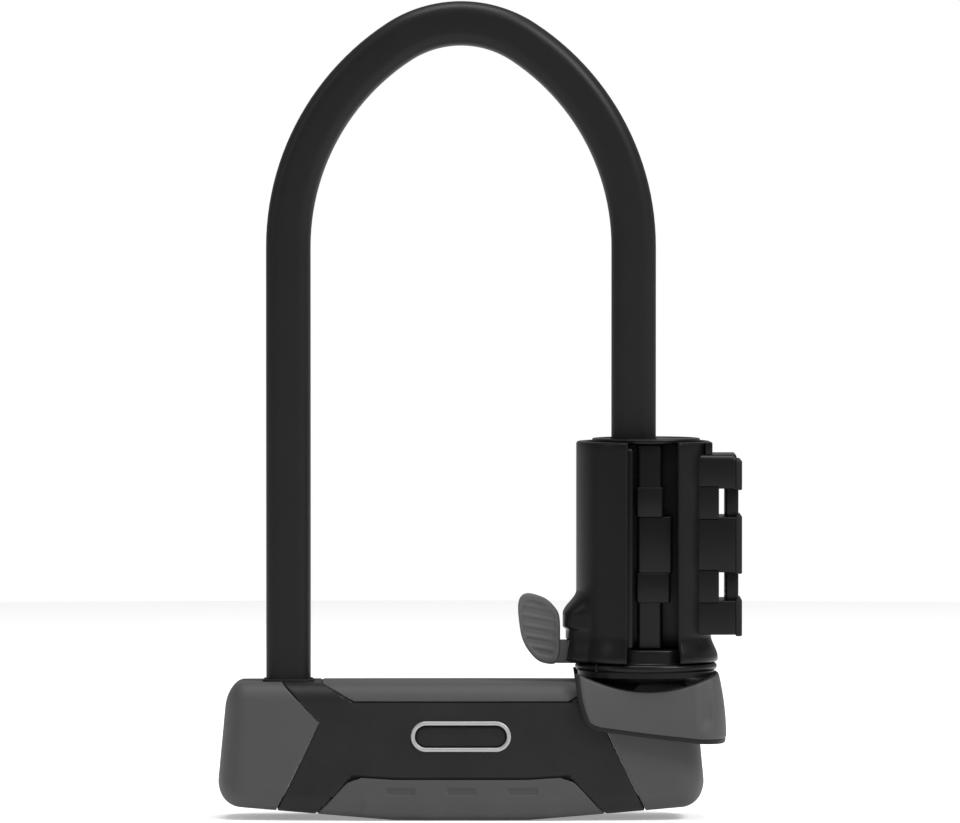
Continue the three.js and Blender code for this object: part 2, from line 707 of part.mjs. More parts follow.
// The turning core: a cup with a keyway in its floor and a slot in its wall for the side bar.
function cylinderPlug() {
  const floor = TUBE_FLOOR + FIT;
  const inside = PLUG_RADIUS - PLUG_WALL;
  const barSlot = SIDEBAR_RADIUS + FIT;
  const body = rod("z", PLUG_RADIUS, floor, cylinderTop - FIT)
    .subtract(rod("z", inside, floor + PLUG_FLOOR, cylinderTop + PAST))
    .subtract(
      box(
        [-KEYWAY_WIDTH / 2, -KEYWAY_LENGTH / 2, 0],
        [KEYWAY_WIDTH / 2, KEYWAY_LENGTH / 2, floor + PLUG_FLOOR + 1],
      ),
    )
    .subtract(
      box([inside - 1, -barSlot, floor + PLUG_FLOOR], [PLUG_RADIUS + 1, barSlot, cylinderTop + PAST]),
    );
  return piece("cylinder_plug", body, looks.brass);
}

// One locking disc: a keyway through it and a gate in its rim for the side bar.
function lockingDisc(index) {
  const floor = discSeat + index * DISC_PITCH;
  const radius = PLUG_RADIUS - PLUG_WALL - FIT;
  const body = rod("z", radius, floor, floor + DISC_THICKNESS)
    .subtract(
      box(
        [-KEYWAY_WIDTH / 2, -KEYWAY_LENGTH / 2, 0],
        [KEYWAY_WIDTH / 2, KEYWAY_LENGTH / 2, cylinderTop],
      ),
    )
    .subtract(rod("z", 1, 0, cylinderTop, radius, 0, 12));
  return piece(`locking_disc_${index + 1}`, body, looks.brass);
}

function sidebar() {
  const x = PLUG_RADIUS - PLUG_WALL / 2;
  const body = rod("z", SIDEBAR_RADIUS, discSeat, discSeat + DISC_COUNT * DISC_PITCH, x, 0, 12);
  return piece("side_bar", body, looks.steel);
}

function keyholeShutter() {
  const floor = POCKET_FLOOR + FIT;
  const half = SHUTTER_WIDTH / 2;
  const body = box([shutterLeft, -half, floor], [shutterRight, half, floor + SHUTTER_THICKNESS])
    .add(box([gripLeft, -gripHalf, 0.5], [gripLeft + 2, gripHalf, floor + SHUTTER_THICKNESS / 2]));
  return piece("keyhole_shutter", body, looks.blackPlastic);
}

// A hoop of spring steel that the shutter squashes, and that pushes it back over the keyhole.
function shutterSpring() {
  const left = shutterRight + FIT;
  const right = pocketRight - FIT;
  const radius = (right - left) / 2;
  const floor = POCKET_FLOOR + FIT;
  const middle = (left + right) / 2;
  const hoop = rod("z", radius, floor, floor + SPRING_WIDTH, middle, 0);
  const inside = rod("z", radius - SPRING_WIRE, 0, floor + PAST, middle, 0);
  return piece("shutter_spring", hoop.subtract(inside), looks.steel);
}

// --- adapter, drawn about the spool's own axis --------------------------------------------

const legFromAxis = -AXIS_OFFSET;
const legRoom = legSize / 2 + LEG_FIT;

function adapterBase() {
  const body = turned([
    [0, BODY_HEIGHT + FIT],
    [NECK_RADIUS, BODY_HEIGHT + FIT],
    [NECK_RADIUS, neckTop],
    [ringRadius - 0.7, neckTop],
    [ringRadius, neckTop + RING_HEIGHT / 2],
    [ringRadius - 0.5, ringTop],
    [hubRadius, ringTop],
    [hubRadius, hubTop],
    [0, hubTop],
  ]);
  const passage = legPassage(legFromAxis, legRoom, 0, hubTop + PAST);
  return piece("adapter_base", body.subtract(passage), looks.blackPlastic);
}

// A sleeve round the leg with four ribs, and two bands that stand out a little.
function adapterSpool() {
  const floor = hubTop + FIT;
  const sleeve = legSize / 2 + LEG_FIT + 1.5;
  const ribs = (width, reach, low, high) => {
    const half = width / 2;
    const left = SPOOL_RIB_OFFSET - half;
    return box([left, -reach, low], [left + width, reach, high])
      .add(box([-reach, -half, low], [reach, half, high]));
  };
  let body = legPassage(legFromAxis, sleeve, floor, spoolTop)
    .add(ribs(SPOOL_RIB_WIDTH, SPOOL_REACH, floor, spoolTop));
  for (const side of [-1, 1]) {
    const low = saddleMiddle + (side * SPOOL_BAND_PITCH) / 2 - SPOOL_BAND_HEIGHT / 2;
    const width = SPOOL_RIB_WIDTH + 2 * SPOOL_BAND;
    body = body.add(ribs(width, SPOOL_REACH + SPOOL_BAND, low, low + SPOOL_BAND_HEIGHT));
  }
  body = body.subtract(legPassage(legFromAxis, legRoom, 0, spoolTop + PAST));
  return piece("adapter_spool", body, looks.blackPlastic);
}

function spoolCap() {
  const floor = spoolTop + FIT;
  const body = rod("z", spoolCapRadius, floor, floor + SPOOL_CAP_HEIGHT, 0, 0, 40)
    .subtract(legPassage(legFromAxis, legRoom, 0, housingTop + PAST));
  return piece("spool_cap", body, looks.blackPlastic);
}

// The boot's outline from the front. Its top edge is one shallow arc between two shoulders.
// It grows only at its inner edge and along its foot.
function bootOutline(grow) {
  const left = -BOOT_LEFT - grow;
  const foot = BODY_HEIGHT - BOOT_DROP - grow;
  const shoulder = BOOT_RIGHT - 3;
  const shape = new THREE.Shape();
  shape.moveTo(-BOOT_LEFT, bootRim);
  if (grow > 0) {
    shape.lineTo(left, bootRim);
  }
  shape.lineTo(left + 1.6, BODY_HEIGHT - 4);
  shape.quadraticCurveTo(left + 2.6, foot + 6.2, left + 10, foot + 5.4);
  shape.lineTo(BOOT_RIGHT - 8, foot);
  shape.quadraticCurveTo(BOOT_RIGHT, foot, BOOT_RIGHT, foot + 6);
  shape.quadraticCurveTo(BOOT_RIGHT - 0.5, BODY_HEIGHT - 4, shoulder, bootRim);
  const scoopFloor = bootRim - 2 * BOOT_SCOOP;
  shape.quadraticCurveTo((shoulder - BOOT_LEFT) / 2, scoopFloor, -BOOT_LEFT, bootRim);
  shape.closePath();
  return shape;
}

// A shell in the boot's outline, hollowed to the crossbar's corner and open to its end.
function bootShell(grow, depth) {
  const plan = rounded([
    [-BOOT_LEFT - 2 * PAST, -depth, 1],
    [BOOT_RIGHT + grow, -depth, 14],
    [BOOT_RIGHT + grow, depth, 14],
    [-BOOT_LEFT - 2 * PAST, depth, 1],
  ]);
  return prism(bootOutline(grow), "y", -depth, depth, 6)
    .intersect(prism(plan, "z", 0, neckTop + PAST, 6))
    .subtract(crossbarOutside(FIT).translate([-legX - AXIS_OFFSET, 0, 0]))
    .subtract(rod("z", NECK_RADIUS + FIT, BODY_HEIGHT, neckTop + PAST, 0, 0, 40));
}

function boot() {
  const depth = BODY_HALF_DEPTH + FIT + BOOT_WALL;
  const heads = clampScrewHoles(3.2 + FIT, depth - 1.6 - FIT, depth + PAST);
  const shanks = clampScrewHoles(1.5 + FIT, 0, depth + PAST);
  const holes = heads.add(shanks).translate([-legX - AXIS_OFFSET, 0, 0]);
  const body = bootShell(0, depth).subtract(holes);
  return piece("adapter_boot", body, looks.greyPlastic);
}

function bootGasket() {
  const depth = BODY_HALF_DEPTH + FIT + GASKET_THICKNESS;
  const inside = prism(bootOutline(FIT), "y", -depth - PAST, depth + PAST, 6);
  const full = bootShell(FIT + GASKET_WIDTH, depth);
  return piece("boot_gasket", full.subtract(inside), looks.rubber);
}

function clampScrew(index) {
  const side = index === 0 ? -1 : 1;
  const x = side * CLAMP_SCREW_SPREAD - AXIS_OFFSET;
  const height = BODY_HEIGHT - CLAMP_SCREW_DROP;
  const headFloor = BODY_HALF_DEPTH + FIT + BOOT_WALL - 1.6;
  const body = rod("y", 3.2, headFloor, headFloor + 1.6, x, height, 20)
    .add(rod("y", 1.5, TUBE_HALF_DEPTH + 2 * FIT, headFloor + 1, x, height, 16))
    .subtract(rod("y", 1.3, headFloor + 0.6, headFloor + PAST, x, height, 6));
  return piece(`clamp_screw_${index + 1}`, body, looks.steel);
}

// --- bracket, drawn about the spool's own axis --------------------------------------------

function saddleScrewHeights() {
  const gap = (SADDLE_HEIGHT - STRAP_PITCH - STRAP_HEIGHT) / 4;
  return [saddleFloor + gap, saddleTop - gap];
}

function bracketHousing() {
  const flareFloor = housingFloor + 1.5;
  const flareTop = housingFloor + SKIRT_HEIGHT;
  const flared = HOUSING_RADIUS + SKIRT_FLARE;
  const outer = -HOUSING_RADIUS - BULGE_REACH;
  const shelf = housingFloor + BULGE_SHELF;
  const bulgeTop = housingFloor + BULGE_HEIGHT;
  const bulge = rounded([
    [-bore, housingFloor],
    [outer + 1.1, housingFloor],
    [outer + 1.1, shelf - 1],
    [outer, shelf],
    [outer, bulgeTop - 7],
    [-HOUSING_RADIUS, bulgeTop],
    [-bore, bulgeTop],
  ]);
  const slotLeft = SLOT_OFFSET - SLOT_WIDTH / 2;
  const slotRight = slotLeft + SLOT_WIDTH;
  const slotFront = -HOUSING_RADIUS - SKIRT_FLARE - PAST;
  const edgeDepth = Math.sqrt(bore ** 2 - slotLeft ** 2);
  const pocketTop = leverFloor - FIT + LEVER_POCKET_HEIGHT;
  let body = turned([
    [0, housingFloor],
    [flared, housingFloor],
    [flared, flareFloor],
    [HOUSING_RADIUS, flareTop],
    [HOUSING_RADIUS, housingTop],
    [0, housingTop],
  ])
    .add(prism(bulge, "y", -BULGE_FRONT, BULGE_BACK))
    .subtract(rod("z", bore, housingFloor - PAST, housingTop + PAST, 0, 0, 40))
    .subtract(
      box([slotLeft, slotFront, housingFloor - PAST], [slotRight, 0, housingTop + PAST]),
    )
    .add(
      box(
        [slotLeft - 1, -edgeDepth - 1.6, housingFloor + RAIL_INSET],
        [slotLeft + RAIL_WIDTH, -edgeDepth + 0.6, housingTop - 3],
      ),
    )
    .subtract(
      box([outer - PAST, -9, leverFloor - FIT], [-bore + PAST, 5, pocketTop]),
    )
    .subtract(rod("z", LEVER_PIN_RADIUS + FIT, 0, pocketTop + 10, leverPinX, LEVER_PIN_Y, 16));
  for (const height of saddleScrewHeights()) {
    body = body.subtract(rod("x", SADDLE_SCREW_RADIUS + FIT, 0, saddleReach, 0, height, 16));
  }
  return piece("bracket_housing", body, looks.blackPlastic);
}

// The strap openings: a narrow slit from front to back, a bar beside it that is set back from
// both faces, and the saddle's outer edge cut away past the bar.
function strapOpenings() {
  const depth = SADDLE_HALF_DEPTH + PAST;
  const barLeft = strapSlotLeft + STRAP_GAP;
  const openings = [-1, 1].map((side) => {
    const low = saddleMiddle + (side * STRAP_PITCH) / 2 - STRAP_HEIGHT / 2;
    const high = low + STRAP_HEIGHT;
    const opening = box([strapSlotLeft, -depth, low], [saddleReach + PAST, depth, high]);
    const bar = box([barLeft, -STRAP_BAR_HALF, low - 1], [plateReach, STRAP_BAR_HALF, high + 1]);
    return opening.subtract(bar);
  });
  return openings[0].add(openings[1]);
}

function saddlePlate() {
  const chamfer = 2.6;
  const outline = rounded([
    [0, saddleFloor],
    [plateReach, saddleFloor, 0.8],
    [plateReach, saddleTop - chamfer, 0.8],
    [plateReach - 1.5, saddleTop, 0.8],
    [0, saddleTop],
  ]);
  const plan = rounded([
    [0, -SADDLE_HALF_DEPTH],
    [plateReach, -SADDLE_HALF_DEPTH, 1.2],
    [plateReach, SADDLE_HALF_DEPTH, 1.2],
    [0, SADDLE_HALF_DEPTH],
  ]);
  const inner = Math.sqrt((HOUSING_RADIUS + FIT) ** 2 - SADDLE_HALF_DEPTH ** 2);
  let body = prism(outline, "y", -SADDLE_HALF_DEPTH, SADDLE_HALF_DEPTH, 2)
    .intersect(prism(plan, "z", saddleFloor, saddleTop, 2))
    .subtract(box([-1, -2 * SADDLE_HALF_DEPTH, 0], [inner, 2 * SADDLE_HALF_DEPTH, saddleTop + PAST]))
    .subtract(rod("z", HOUSING_RADIUS + FIT, 0, saddleTop + PAST, 0, 0, 40))
    .subtract(strapOpenings());
  for (const height of saddleScrewHeights()) {
    body = body
      .subtract(rod("x", SADDLE_SCREW_RADIUS + FIT, 0, saddleReach, 0, height, 16))
      .subtract(rod("x", 3.6 + FIT, plateReach - 2 - FIT, saddleReach, 0, height, 20));
  }
  return piece("saddle_plate", body, looks.blackPlastic);
}

// The rubber face of the saddle, in three pads with the straps between them.
function saddlePads() {
  const strapLow = saddleMiddle - STRAP_PITCH / 2 - STRAP_HEIGHT / 2;
  const strapHigh = saddleMiddle + STRAP_PITCH / 2 - STRAP_HEIGHT / 2;
  const spans = [
    ["lower", saddleFloor, strapLow],
    ["middle", strapLow + STRAP_HEIGHT, strapHigh],
    ["upper", strapHigh + STRAP_HEIGHT, saddleTop - 2.6],
  ];
  const half = SADDLE_HALF_DEPTH - 1;
  return spans.map(([place, low, high]) => {
    const outline = roundedRectangle(-half, half, low, high, 1.2);
    const body = prism(outline, "x", plateReach + FIT, saddleReach, 2);
    return piece(`saddle_pad_${place}`, body, looks.rubber);
  });
}

function saddleScrew(height, index) {
  const headFloor = plateReach - 2;
  const body = rod("x", 3.6, headFloor, headFloor + 2, 0, height, 20)
    .add(rod("x", SADDLE_SCREW_RADIUS, bore + FIT, headFloor + 1, 0, height, 16))
    .subtract(rod("x", 1.5, headFloor + 0.7, headFloor + PAST, 0, height, 6));
  return piece(`saddle_screw_${index + 1}`, body, looks.steel);
}

// --- lever, drawn about the spool's own axis ----------------------------------------------

// The thumb pad is a leaf: a straight top edge that slopes, a round foot and a tip.
function lever() {
  const yFront = LEVER_PIN_Y - LEVER_THICKNESS / 2;
  const yBack = LEVER_PIN_Y + LEVER_THICKNESS / 2;
  const armTop = leverFloor + LEVER_ARM_HEIGHT;
  const padLeft = leverPinX - LEVER_PAD_REACH;
  const padRight = padLeft + LEVER_PAD_WIDTH;
  const padFoot = leverFloor - 1.3;
  const padTop = padFoot + LEVER_PAD_HEIGHT;
  const leaf = new THREE.Shape();
  leaf.moveTo(padLeft + 2, padTop);
  leaf.quadraticCurveTo(padLeft + 6, padTop + 0.3, padRight - 3, padTop - 4.4);
  leaf.quadraticCurveTo(padRight - 0.4, padTop - 6.5, padRight, padTop - 10);
  leaf.lineTo(padRight + 0.4, padFoot + 9);
  leaf.lineTo(padRight + 0.4, padFoot + 0.6);
  leaf.lineTo(padRight - 4, padFoot);
  leaf.quadraticCurveTo(padLeft + 5, padFoot + 1, padLeft + 1.6, padTop - 13);
  leaf.quadraticCurveTo(padLeft - 0.6, padTop - 5, padLeft, padTop - 2);
  leaf.quadraticCurveTo(padLeft + 0.4, padTop - 0.1, padLeft + 2, padTop);
  const arm = box([padRight - 1, yFront, leverFloor], [leverPinX, yBack, armTop]);
  const body = prism(leaf, "y", yFront, yBack, 4)
    .add(arm)
    .add(rod("z", LEVER_THICKNESS / 2 + 0.9, leverFloor, armTop, leverPinX, LEVER_PIN_Y, 20))
    .subtract(rod("z", LEVER_PIN_RADIUS + FIT, 0, armTop + PAST, leverPinX, LEVER_PIN_Y, 16));
  return piece("release_lever", body, looks.greyPlastic);
}

function leverPin() {
  const top = leverFloor + LEVER_POCKET_HEIGHT + 8;
  const body = rod("z", LEVER_PIN_RADIUS, housingFloor, top, leverPinX, LEVER_PIN_Y, 16);
  return piece("lever_pin", body, looks.steel);
}

// A leaf spring behind the lever's arm.
function leverSpring() {
  const y = LEVER_PIN_Y + LEVER_THICKNESS / 2 + FIT;
  const outline = rounded([
    [-HOUSING_RADIUS - 3.6, y],
    [-HOUSING_RADIUS - 3.2, y],
    [leverPinX - 1, y + 3.2],
    [leverPinX + 1.5, y + 3.2],
    [leverPinX + 1.5, y + 3.6],
    [leverPinX - 1.2, y + 3.6],
  ]);
  const body = prism(outline, "z", leverFloor + 0.5, leverFloor + LEVER_ARM_HEIGHT - 0.5);
  return piece("lever_spring", body, looks.steel);
}

// --- assembly -----------------------------------------------------------------------------

function assembly(...pieces) {
  const group = new THREE.Group();
  group.add(...pieces.flat());
  return group;
}

const shell = crossbarShell();

const shackle = assembly(shackleBar(), shackleCoat());

const crossbar = assembly(
  crossbarCovers(shell),
  bottomStrip(shell),
  badge(),
  legBushing("left_leg_bushing", -legX, true),
  legBushing("right_leg_bushing", legX, false),
);

const lockWorks = assembly(
  lockTube(),
  endPlug("left_end_plug", -1),
  endPlug("right_end_plug", 1),
  socketBlock("left_socket_block", -1),
  socketBlock("right_socket_block", 1),
  boltGuide(),
  boltCover(),
  bolt("left_bolt", -1),
  bolt("right_bolt", 1),
  cylinderHousing(),
  cylinderPlug(),
  Array.from({ length: DISC_COUNT }, (_, index) => lockingDisc(index)),
  sidebar(),
  camDisc(),
  keyholeShutter(),
  shutterSpring(),
);

const adapter = assembly(
  adapterBase(),
  adapterSpool(),
  spoolCap(),
  boot(),
  bootGasket(),
  clampScrew(0),
  clampScrew(1),
);

const bracket = assembly(
  bracketHousing(),
  saddlePlate(),
  saddlePads(),
  saddleScrewHeights().map(saddleScrew),
  lever(),
  leverPin(),
  leverSpring(),
);

for (const group of [adapter, bracket]) {
  group.position.x = legX + AXIS_OFFSET;
}

// The saddle's face and the crossbar's far end are the two sides of the whole object.
const uLock = new THREE.Group();
uLock.add(shackle, crossbar, lockWorks, adapter, bracket);
uLock.position.x = (bodyHalf - (legX + AXIS_OFFSET + saddleReach)) / 2;

export default uLock;
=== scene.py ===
"""A bicycle U lock with its frame bracket: the finished surfaces, materials, lights and camera.

Metres, +Z up, front towards -Y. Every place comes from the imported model: the crossbar's middle, the
legs' centre lines and the spool's axis are read from it, and the shapes are worked out about them.
"""

import json
import math

import bpy
import numpy as np
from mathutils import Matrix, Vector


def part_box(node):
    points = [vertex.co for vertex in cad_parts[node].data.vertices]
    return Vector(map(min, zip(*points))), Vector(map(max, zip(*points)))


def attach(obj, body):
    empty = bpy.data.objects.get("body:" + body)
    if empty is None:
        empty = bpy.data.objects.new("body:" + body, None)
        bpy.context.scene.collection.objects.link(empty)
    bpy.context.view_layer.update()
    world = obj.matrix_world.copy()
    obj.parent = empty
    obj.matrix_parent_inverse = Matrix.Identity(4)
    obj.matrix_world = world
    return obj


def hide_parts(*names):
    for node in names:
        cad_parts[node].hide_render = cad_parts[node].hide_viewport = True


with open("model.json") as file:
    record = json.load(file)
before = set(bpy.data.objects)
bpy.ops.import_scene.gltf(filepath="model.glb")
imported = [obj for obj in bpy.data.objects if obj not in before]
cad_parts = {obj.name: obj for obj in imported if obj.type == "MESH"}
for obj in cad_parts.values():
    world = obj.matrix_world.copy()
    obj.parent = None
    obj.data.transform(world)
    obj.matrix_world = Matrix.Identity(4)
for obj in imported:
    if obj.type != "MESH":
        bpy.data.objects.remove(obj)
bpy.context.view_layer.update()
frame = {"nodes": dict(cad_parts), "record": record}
MM = 0.001

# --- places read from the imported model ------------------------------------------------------


def low(node):
    """Lowest corner of a node's box."""
    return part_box(node)[0]


def high(node):
    """Highest corner of a node's box."""
    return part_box(node)[1]


def middle(node, axis):
    """Middle of a node's box along one axis."""
    return (low(node)[axis] + high(node)[axis]) / 2


BAR_X = middle("lock_tube", 0)
BODY_TOP = high("top_strip").z
BODY_DEPTH = high("rear_cover").y
LEG_HALF = high("shackle_coat").y
LEG_X = (high("shackle_coat").x - low("shackle_coat").x) / 2 - LEG_HALF
ARCH_TOP = high("shackle_coat").z - LEG_HALF
COAT_FOOT = low("shackle_coat").z
BODY_END = LEG_X + LEG_HALF + 18.2 * MM
SPOOL_X = middle("spool_cap", 0)
LEG_FROM_SPOOL = BAR_X + LEG_X - SPOOL_X
HOUSING_FOOT = low("bracket_housing").z
HOUSING_TOP = high("bracket_housing").z
RING_RADIUS = (high("adapter_base").x - low("adapter_base").x) / 2
SADDLE_FACE = high("saddle_pad_middle").x
SADDLE_FOOT = low("saddle_plate").z
SADDLE_TOP = high("saddle_plate").z

# --- mesh helpers ---------------------------------------------------------------------------

EDGE_ANGLE = math.radians(38)


def smooth(low_value, high_value, value):
    """0 below the low value and 1 above the high one, with an S curve 3t^2 - 2t^3 between them."""
    share = np.clip((value - low_value) / (high_value - low_value), 0, 1)
    return share * share * (3 - 2 * share)


def hump(value, centre, half_width):
    """A bump, 1 at the centre and 0 past the half width: (1 - t^2)^2."""
    share = np.clip(np.abs(value - centre) / half_width, 0, 1)
    return (1 - share**2) ** 2


def quads(rows, columns, start=0, closed=False):
    """Faces of a grid of points stored row by row. A closed grid joins its last column to its first."""
    across = columns if closed else columns - 1
    row, column = np.meshgrid(np.arange(rows - 1), np.arange(across), indexing="ij")
    beside = (column + 1) % columns
    corners = [row * columns + column, row * columns + beside]
    corners += [(row + 1) * columns + beside, (row + 1) * columns + column]
    return np.stack(corners, axis=-1).reshape(-1, 4) + start


def volume(points, faces):
    """Signed volume inside closed faces: each corner fan's triple product over six."""
    total = 0.0
    for face in faces:
        corner = points[np.asarray(face)]
        total += np.einsum("ij,ij->", np.broadcast_to(corner[0], corner[1:-1].shape),
                           np.cross(corner[1:-1], corner[2:]))
    return total / 6


def solid(name, parts, body, stands_for, material):
    """One object from closed parts, each (points, faces). A part that comes out inside out is turned."""
    points, faces = [], []
    for part_points, part_faces in parts:
        part_points = np.asarray(part_points, float).reshape(-1, 3)
        if volume(part_points, part_faces) < 0:
            part_faces = [list(face)[::-1] for face in part_faces]
        start = sum(len(block) for block in points)
        faces += [[int(corner) + start for corner in face] for face in part_faces]
        points.append(part_points)
    mesh = bpy.data.meshes.new(name)
    mesh.from_pydata(np.concatenate(points).tolist(), [], faces)
    mesh.shade_smooth()
    mesh.set_sharp_from_angle(angle=EDGE_ANGLE)
    made = bpy.data.objects.new(name, mesh)
    bpy.context.scene.collection.objects.link(made)
    made.data.materials.append(material)
    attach(made, body)
    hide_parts(*stands_for)
    return made


def tube(sections):
    """Closed loops in a row, shape (rows, columns, 3), with a flat face over each end."""
    rows, columns = sections.shape[:2]
    faces = quads(rows, columns, closed=True).tolist()
    first = list(range(columns))
    last = [(rows - 1) * columns + column for column in first]
    return sections.reshape(-1, 3), faces + [first[::-1], last]


def ring(sections):
    """Closed loops in a row whose last loop joins the first, as round a hole."""
    rows, columns = sections.shape[:2]
    again = np.concatenate([sections, sections[:1]])
    faces = quads(rows + 1, columns, closed=True) % (rows * columns)
    return again[:rows].reshape(-1, 3), faces.tolist()


def slab(outer, inner):
    """A sheet with thickness: an outer and an inner grid of the same shape, joined round their edge."""
    rows, columns = outer.shape[:2]
    count = rows * columns
    faces = quads(rows, columns).tolist()
    faces += quads(rows, columns, start=count)[:, ::-1].tolist()
    top = np.arange(columns)
    side = np.arange(rows) * columns
    edge = np.concatenate([top, side[1:] + columns - 1, top[::-1][1:] + side[-1], side[::-1][1:-1]])
    beside = np.roll(edge, -1)
    faces += np.stack([beside, edge, edge + count, beside + count], axis=-1).tolist()
    return np.concatenate([outer.reshape(-1, 3), inner.reshape(-1, 3)]), faces


def rounded_loop(half_a, half_b, rounding, steps=7):
    """Rounded rectangle: each quarter is its corner's centre plus the rounding times the direction."""
    quarter = np.arange(4)[:, None]
    angle = (quarter + np.linspace(0, 1, steps)) * math.pi / 2
    diagonal = (quarter + 0.5) * math.pi / 2
    a = np.sign(np.cos(diagonal)) * (half_a - rounding) + rounding * np.cos(angle)
    b = np.sign(np.sin(diagonal)) * (half_b - rounding) + rounding * np.sin(angle)
    return np.stack([a, b], axis=-1).reshape(-1, 2)


def eased(length, radius, steps=4):
    """Stations along a length with both edges rounded: (how far along, how far the edge draws in)."""
    turn = np.linspace(0, math.pi / 2, steps)
    start = radius * (1 - np.cos(turn))
    drawn = radius * (1 - np.sin(turn))
    return np.concatenate([start, length - start[::-1]]), np.concatenate([drawn, drawn[::-1]])


def block(centre, half, rounding, edge):
    """A box whose four edges along Z are rounded by one radius, and those round its ends by another."""
    along, drawn = eased(2 * half[2], edge)
    loops = [rounded_loop(half[0] - d, half[1] - d, max(rounding - d, 0.05 * MM)) for d in drawn]
    flat = np.stack(loops)
    height = np.broadcast_to((centre[2] - half[2] + along)[:, None], flat.shape[:2])
    return tube(np.stack([centre[0] + flat[..., 0], centre[1] + flat[..., 1], height], axis=-1))


def cut(piece, centre, half):
    """Cuts a box-shaped hole in a finished piece."""
    corners = np.array([[x, y, z] for x in (-1, 1) for y in (-1, 1) for z in (-1, 1)]) * half + centre
    sides = [(0, 1, 3, 2), (4, 6, 7, 5), (0, 4, 5, 1), (2, 3, 7, 6), (0, 2, 6, 4), (1, 5, 7, 3)]
    mesh = bpy.data.meshes.new("cutter")
    mesh.from_pydata(corners.tolist(), [], sides)
    cutter = bpy.data.objects.new("cutter", mesh)
    bpy.context.scene.collection.objects.link(cutter)
    step = piece.modifiers.new("hole", "BOOLEAN")
    step.operation = "DIFFERENCE"
    step.solver = "MANIFOLD"
    step.object = cutter
    bpy.context.view_layer.update()
    seen = piece.evaluated_get(bpy.context.evaluated_depsgraph_get())
    finished = bpy.data.meshes.new_from_object(seen)
    material = piece.data.materials[0]
    piece.modifiers.remove(step)
    finished.materials.clear()
    finished.materials.append(material)
    finished.shade_smooth()
    finished.set_sharp_from_angle(angle=EDGE_ANGLE)
    piece.data = finished
    bpy.data.objects.remove(cutter)


# --- materials ------------------------------------------------------------------------------


def socket(tree, name, direction, kind, value=None):
    """A named input or output of a node group, with its first value."""
    made = tree.interface.new_socket(name=name, in_out=direction, socket_type=kind)
    if value is not None:
        made.default_value = value


def grain_group():
    """Moulded grain: fine bumps of one size, and slow drifts of shade over the surface."""
    tree = bpy.data.node_groups.new("moulded_grain", "ShaderNodeTree")
    socket(tree, "Grain Scale", "INPUT", "NodeSocketFloat", 1500.0)
    socket(tree, "Depth", "INPUT", "NodeSocketFloat", 0.3)
    socket(tree, "Color", "INPUT", "NodeSocketColor", (0.02, 0.02, 0.02, 1))
    socket(tree, "Spread", "INPUT", "NodeSocketFloat", 0.15)
    socket(tree, "Roughness", "INPUT", "NodeSocketFloat", 0.5)
    socket(tree, "Color", "OUTPUT", "NodeSocketColor")
    socket(tree, "Roughness", "OUTPUT", "NodeSocketFloat")
    socket(tree, "Normal", "OUTPUT", "NodeSocketVector")
    new, link = tree.nodes.new, tree.links.new
    given, result = new("NodeGroupInput"), new("NodeGroupOutput")
    place = new("ShaderNodeTexCoord")
    fine, slow = new("ShaderNodeTexNoise"), new("ShaderNodeTexNoise")
    fine.inputs["Detail"].default_value = 3.0
    slow.inputs["Scale"].default_value = 45.0
    slow.inputs["Detail"].default_value = 3.0
    link(place.outputs["Object"], fine.inputs["Vector"])
    link(place.outputs["Object"], slow.inputs["Vector"])
    link(given.outputs["Grain Scale"], fine.inputs["Scale"])
    bump = new("ShaderNodeBump")
    bump.inputs["Distance"].default_value = 0.0001
    link(given.outputs["Depth"], bump.inputs["Strength"])
    link(fine.outputs["Fac"], bump.inputs["Height"])
    blend = math_node(tree, "ADD", fine.outputs["Fac"], slow.outputs["Fac"])
    off_middle = math_node(tree, "SUBTRACT", blend, 1.0)
    shade = math_node(tree, "MULTIPLY", off_middle, given.outputs["Spread"])
    factor = math_node(tree, "ADD", shade, 1.0)
    scaled = new("ShaderNodeVectorMath")
    scaled.operation = "SCALE"
    link(given.outputs["Color"], scaled.inputs[0])
    link(factor, scaled.inputs["Scale"])
    rough_shift = math_node(tree, "MULTIPLY", off_middle, 0.12)
    rough = math_node(tree, "ADD", rough_shift, given.outputs["Roughness"])
    link(scaled.outputs["Vector"], result.inputs["Color"])
    link(rough, result.inputs["Roughness"])
    link(bump.outputs["Normal"], result.inputs["Normal"])
    return tree


def math_node(tree, operation, first, second):
    """A math node of a tree, fed by sockets or numbers. Returns its output."""
    node = tree.nodes.new("ShaderNodeMath")
    node.operation = operation
    for index, value in enumerate((first, second)):
        if isinstance(value, (int, float)):
            node.inputs[index].default_value = value
        else:
            tree.links.new(value, node.inputs[index])
    return node.outputs[0]


GRAIN = grain_group()


def plain(grey, tint=0.0):
    """A near grey colour, given by its linear value, a little bluer with the tint."""
    return (grey, grey * (1 + tint / 2), grey * (1 + tint), 1)


def finish_material(name, color, roughness, grain_scale, depth, spread=0.15, metallic=0.0, specular=0.5):
    """A Principled surface whose colour, roughness and normal come through the moulded grain."""
    material = bpy.data.materials.new(name)
    material.use_nodes = True
    tree = material.node_tree
    shader = tree.nodes["Principled BSDF"]
    grain = tree.nodes.new("ShaderNodeGroup")
    grain.node_tree = GRAIN
    grain.inputs["Color"].default_value = color
    grain.inputs["Roughness"].default_value = roughness
    grain.inputs["Grain Scale"].default_value = grain_scale
    grain.inputs["Depth"].default_value = depth
    grain.inputs["Spread"].default_value = spread
    tree.links.new(grain.outputs["Color"], shader.inputs["Base Color"])
    tree.links.new(grain.outputs["Roughness"], shader.inputs["Roughness"])
    tree.links.new(grain.outputs["Normal"], shader.inputs["Normal"])
    shader.inputs["Metallic"].default_value = metallic
    shader.inputs["Specular IOR Level"].default_value = specular
    return material


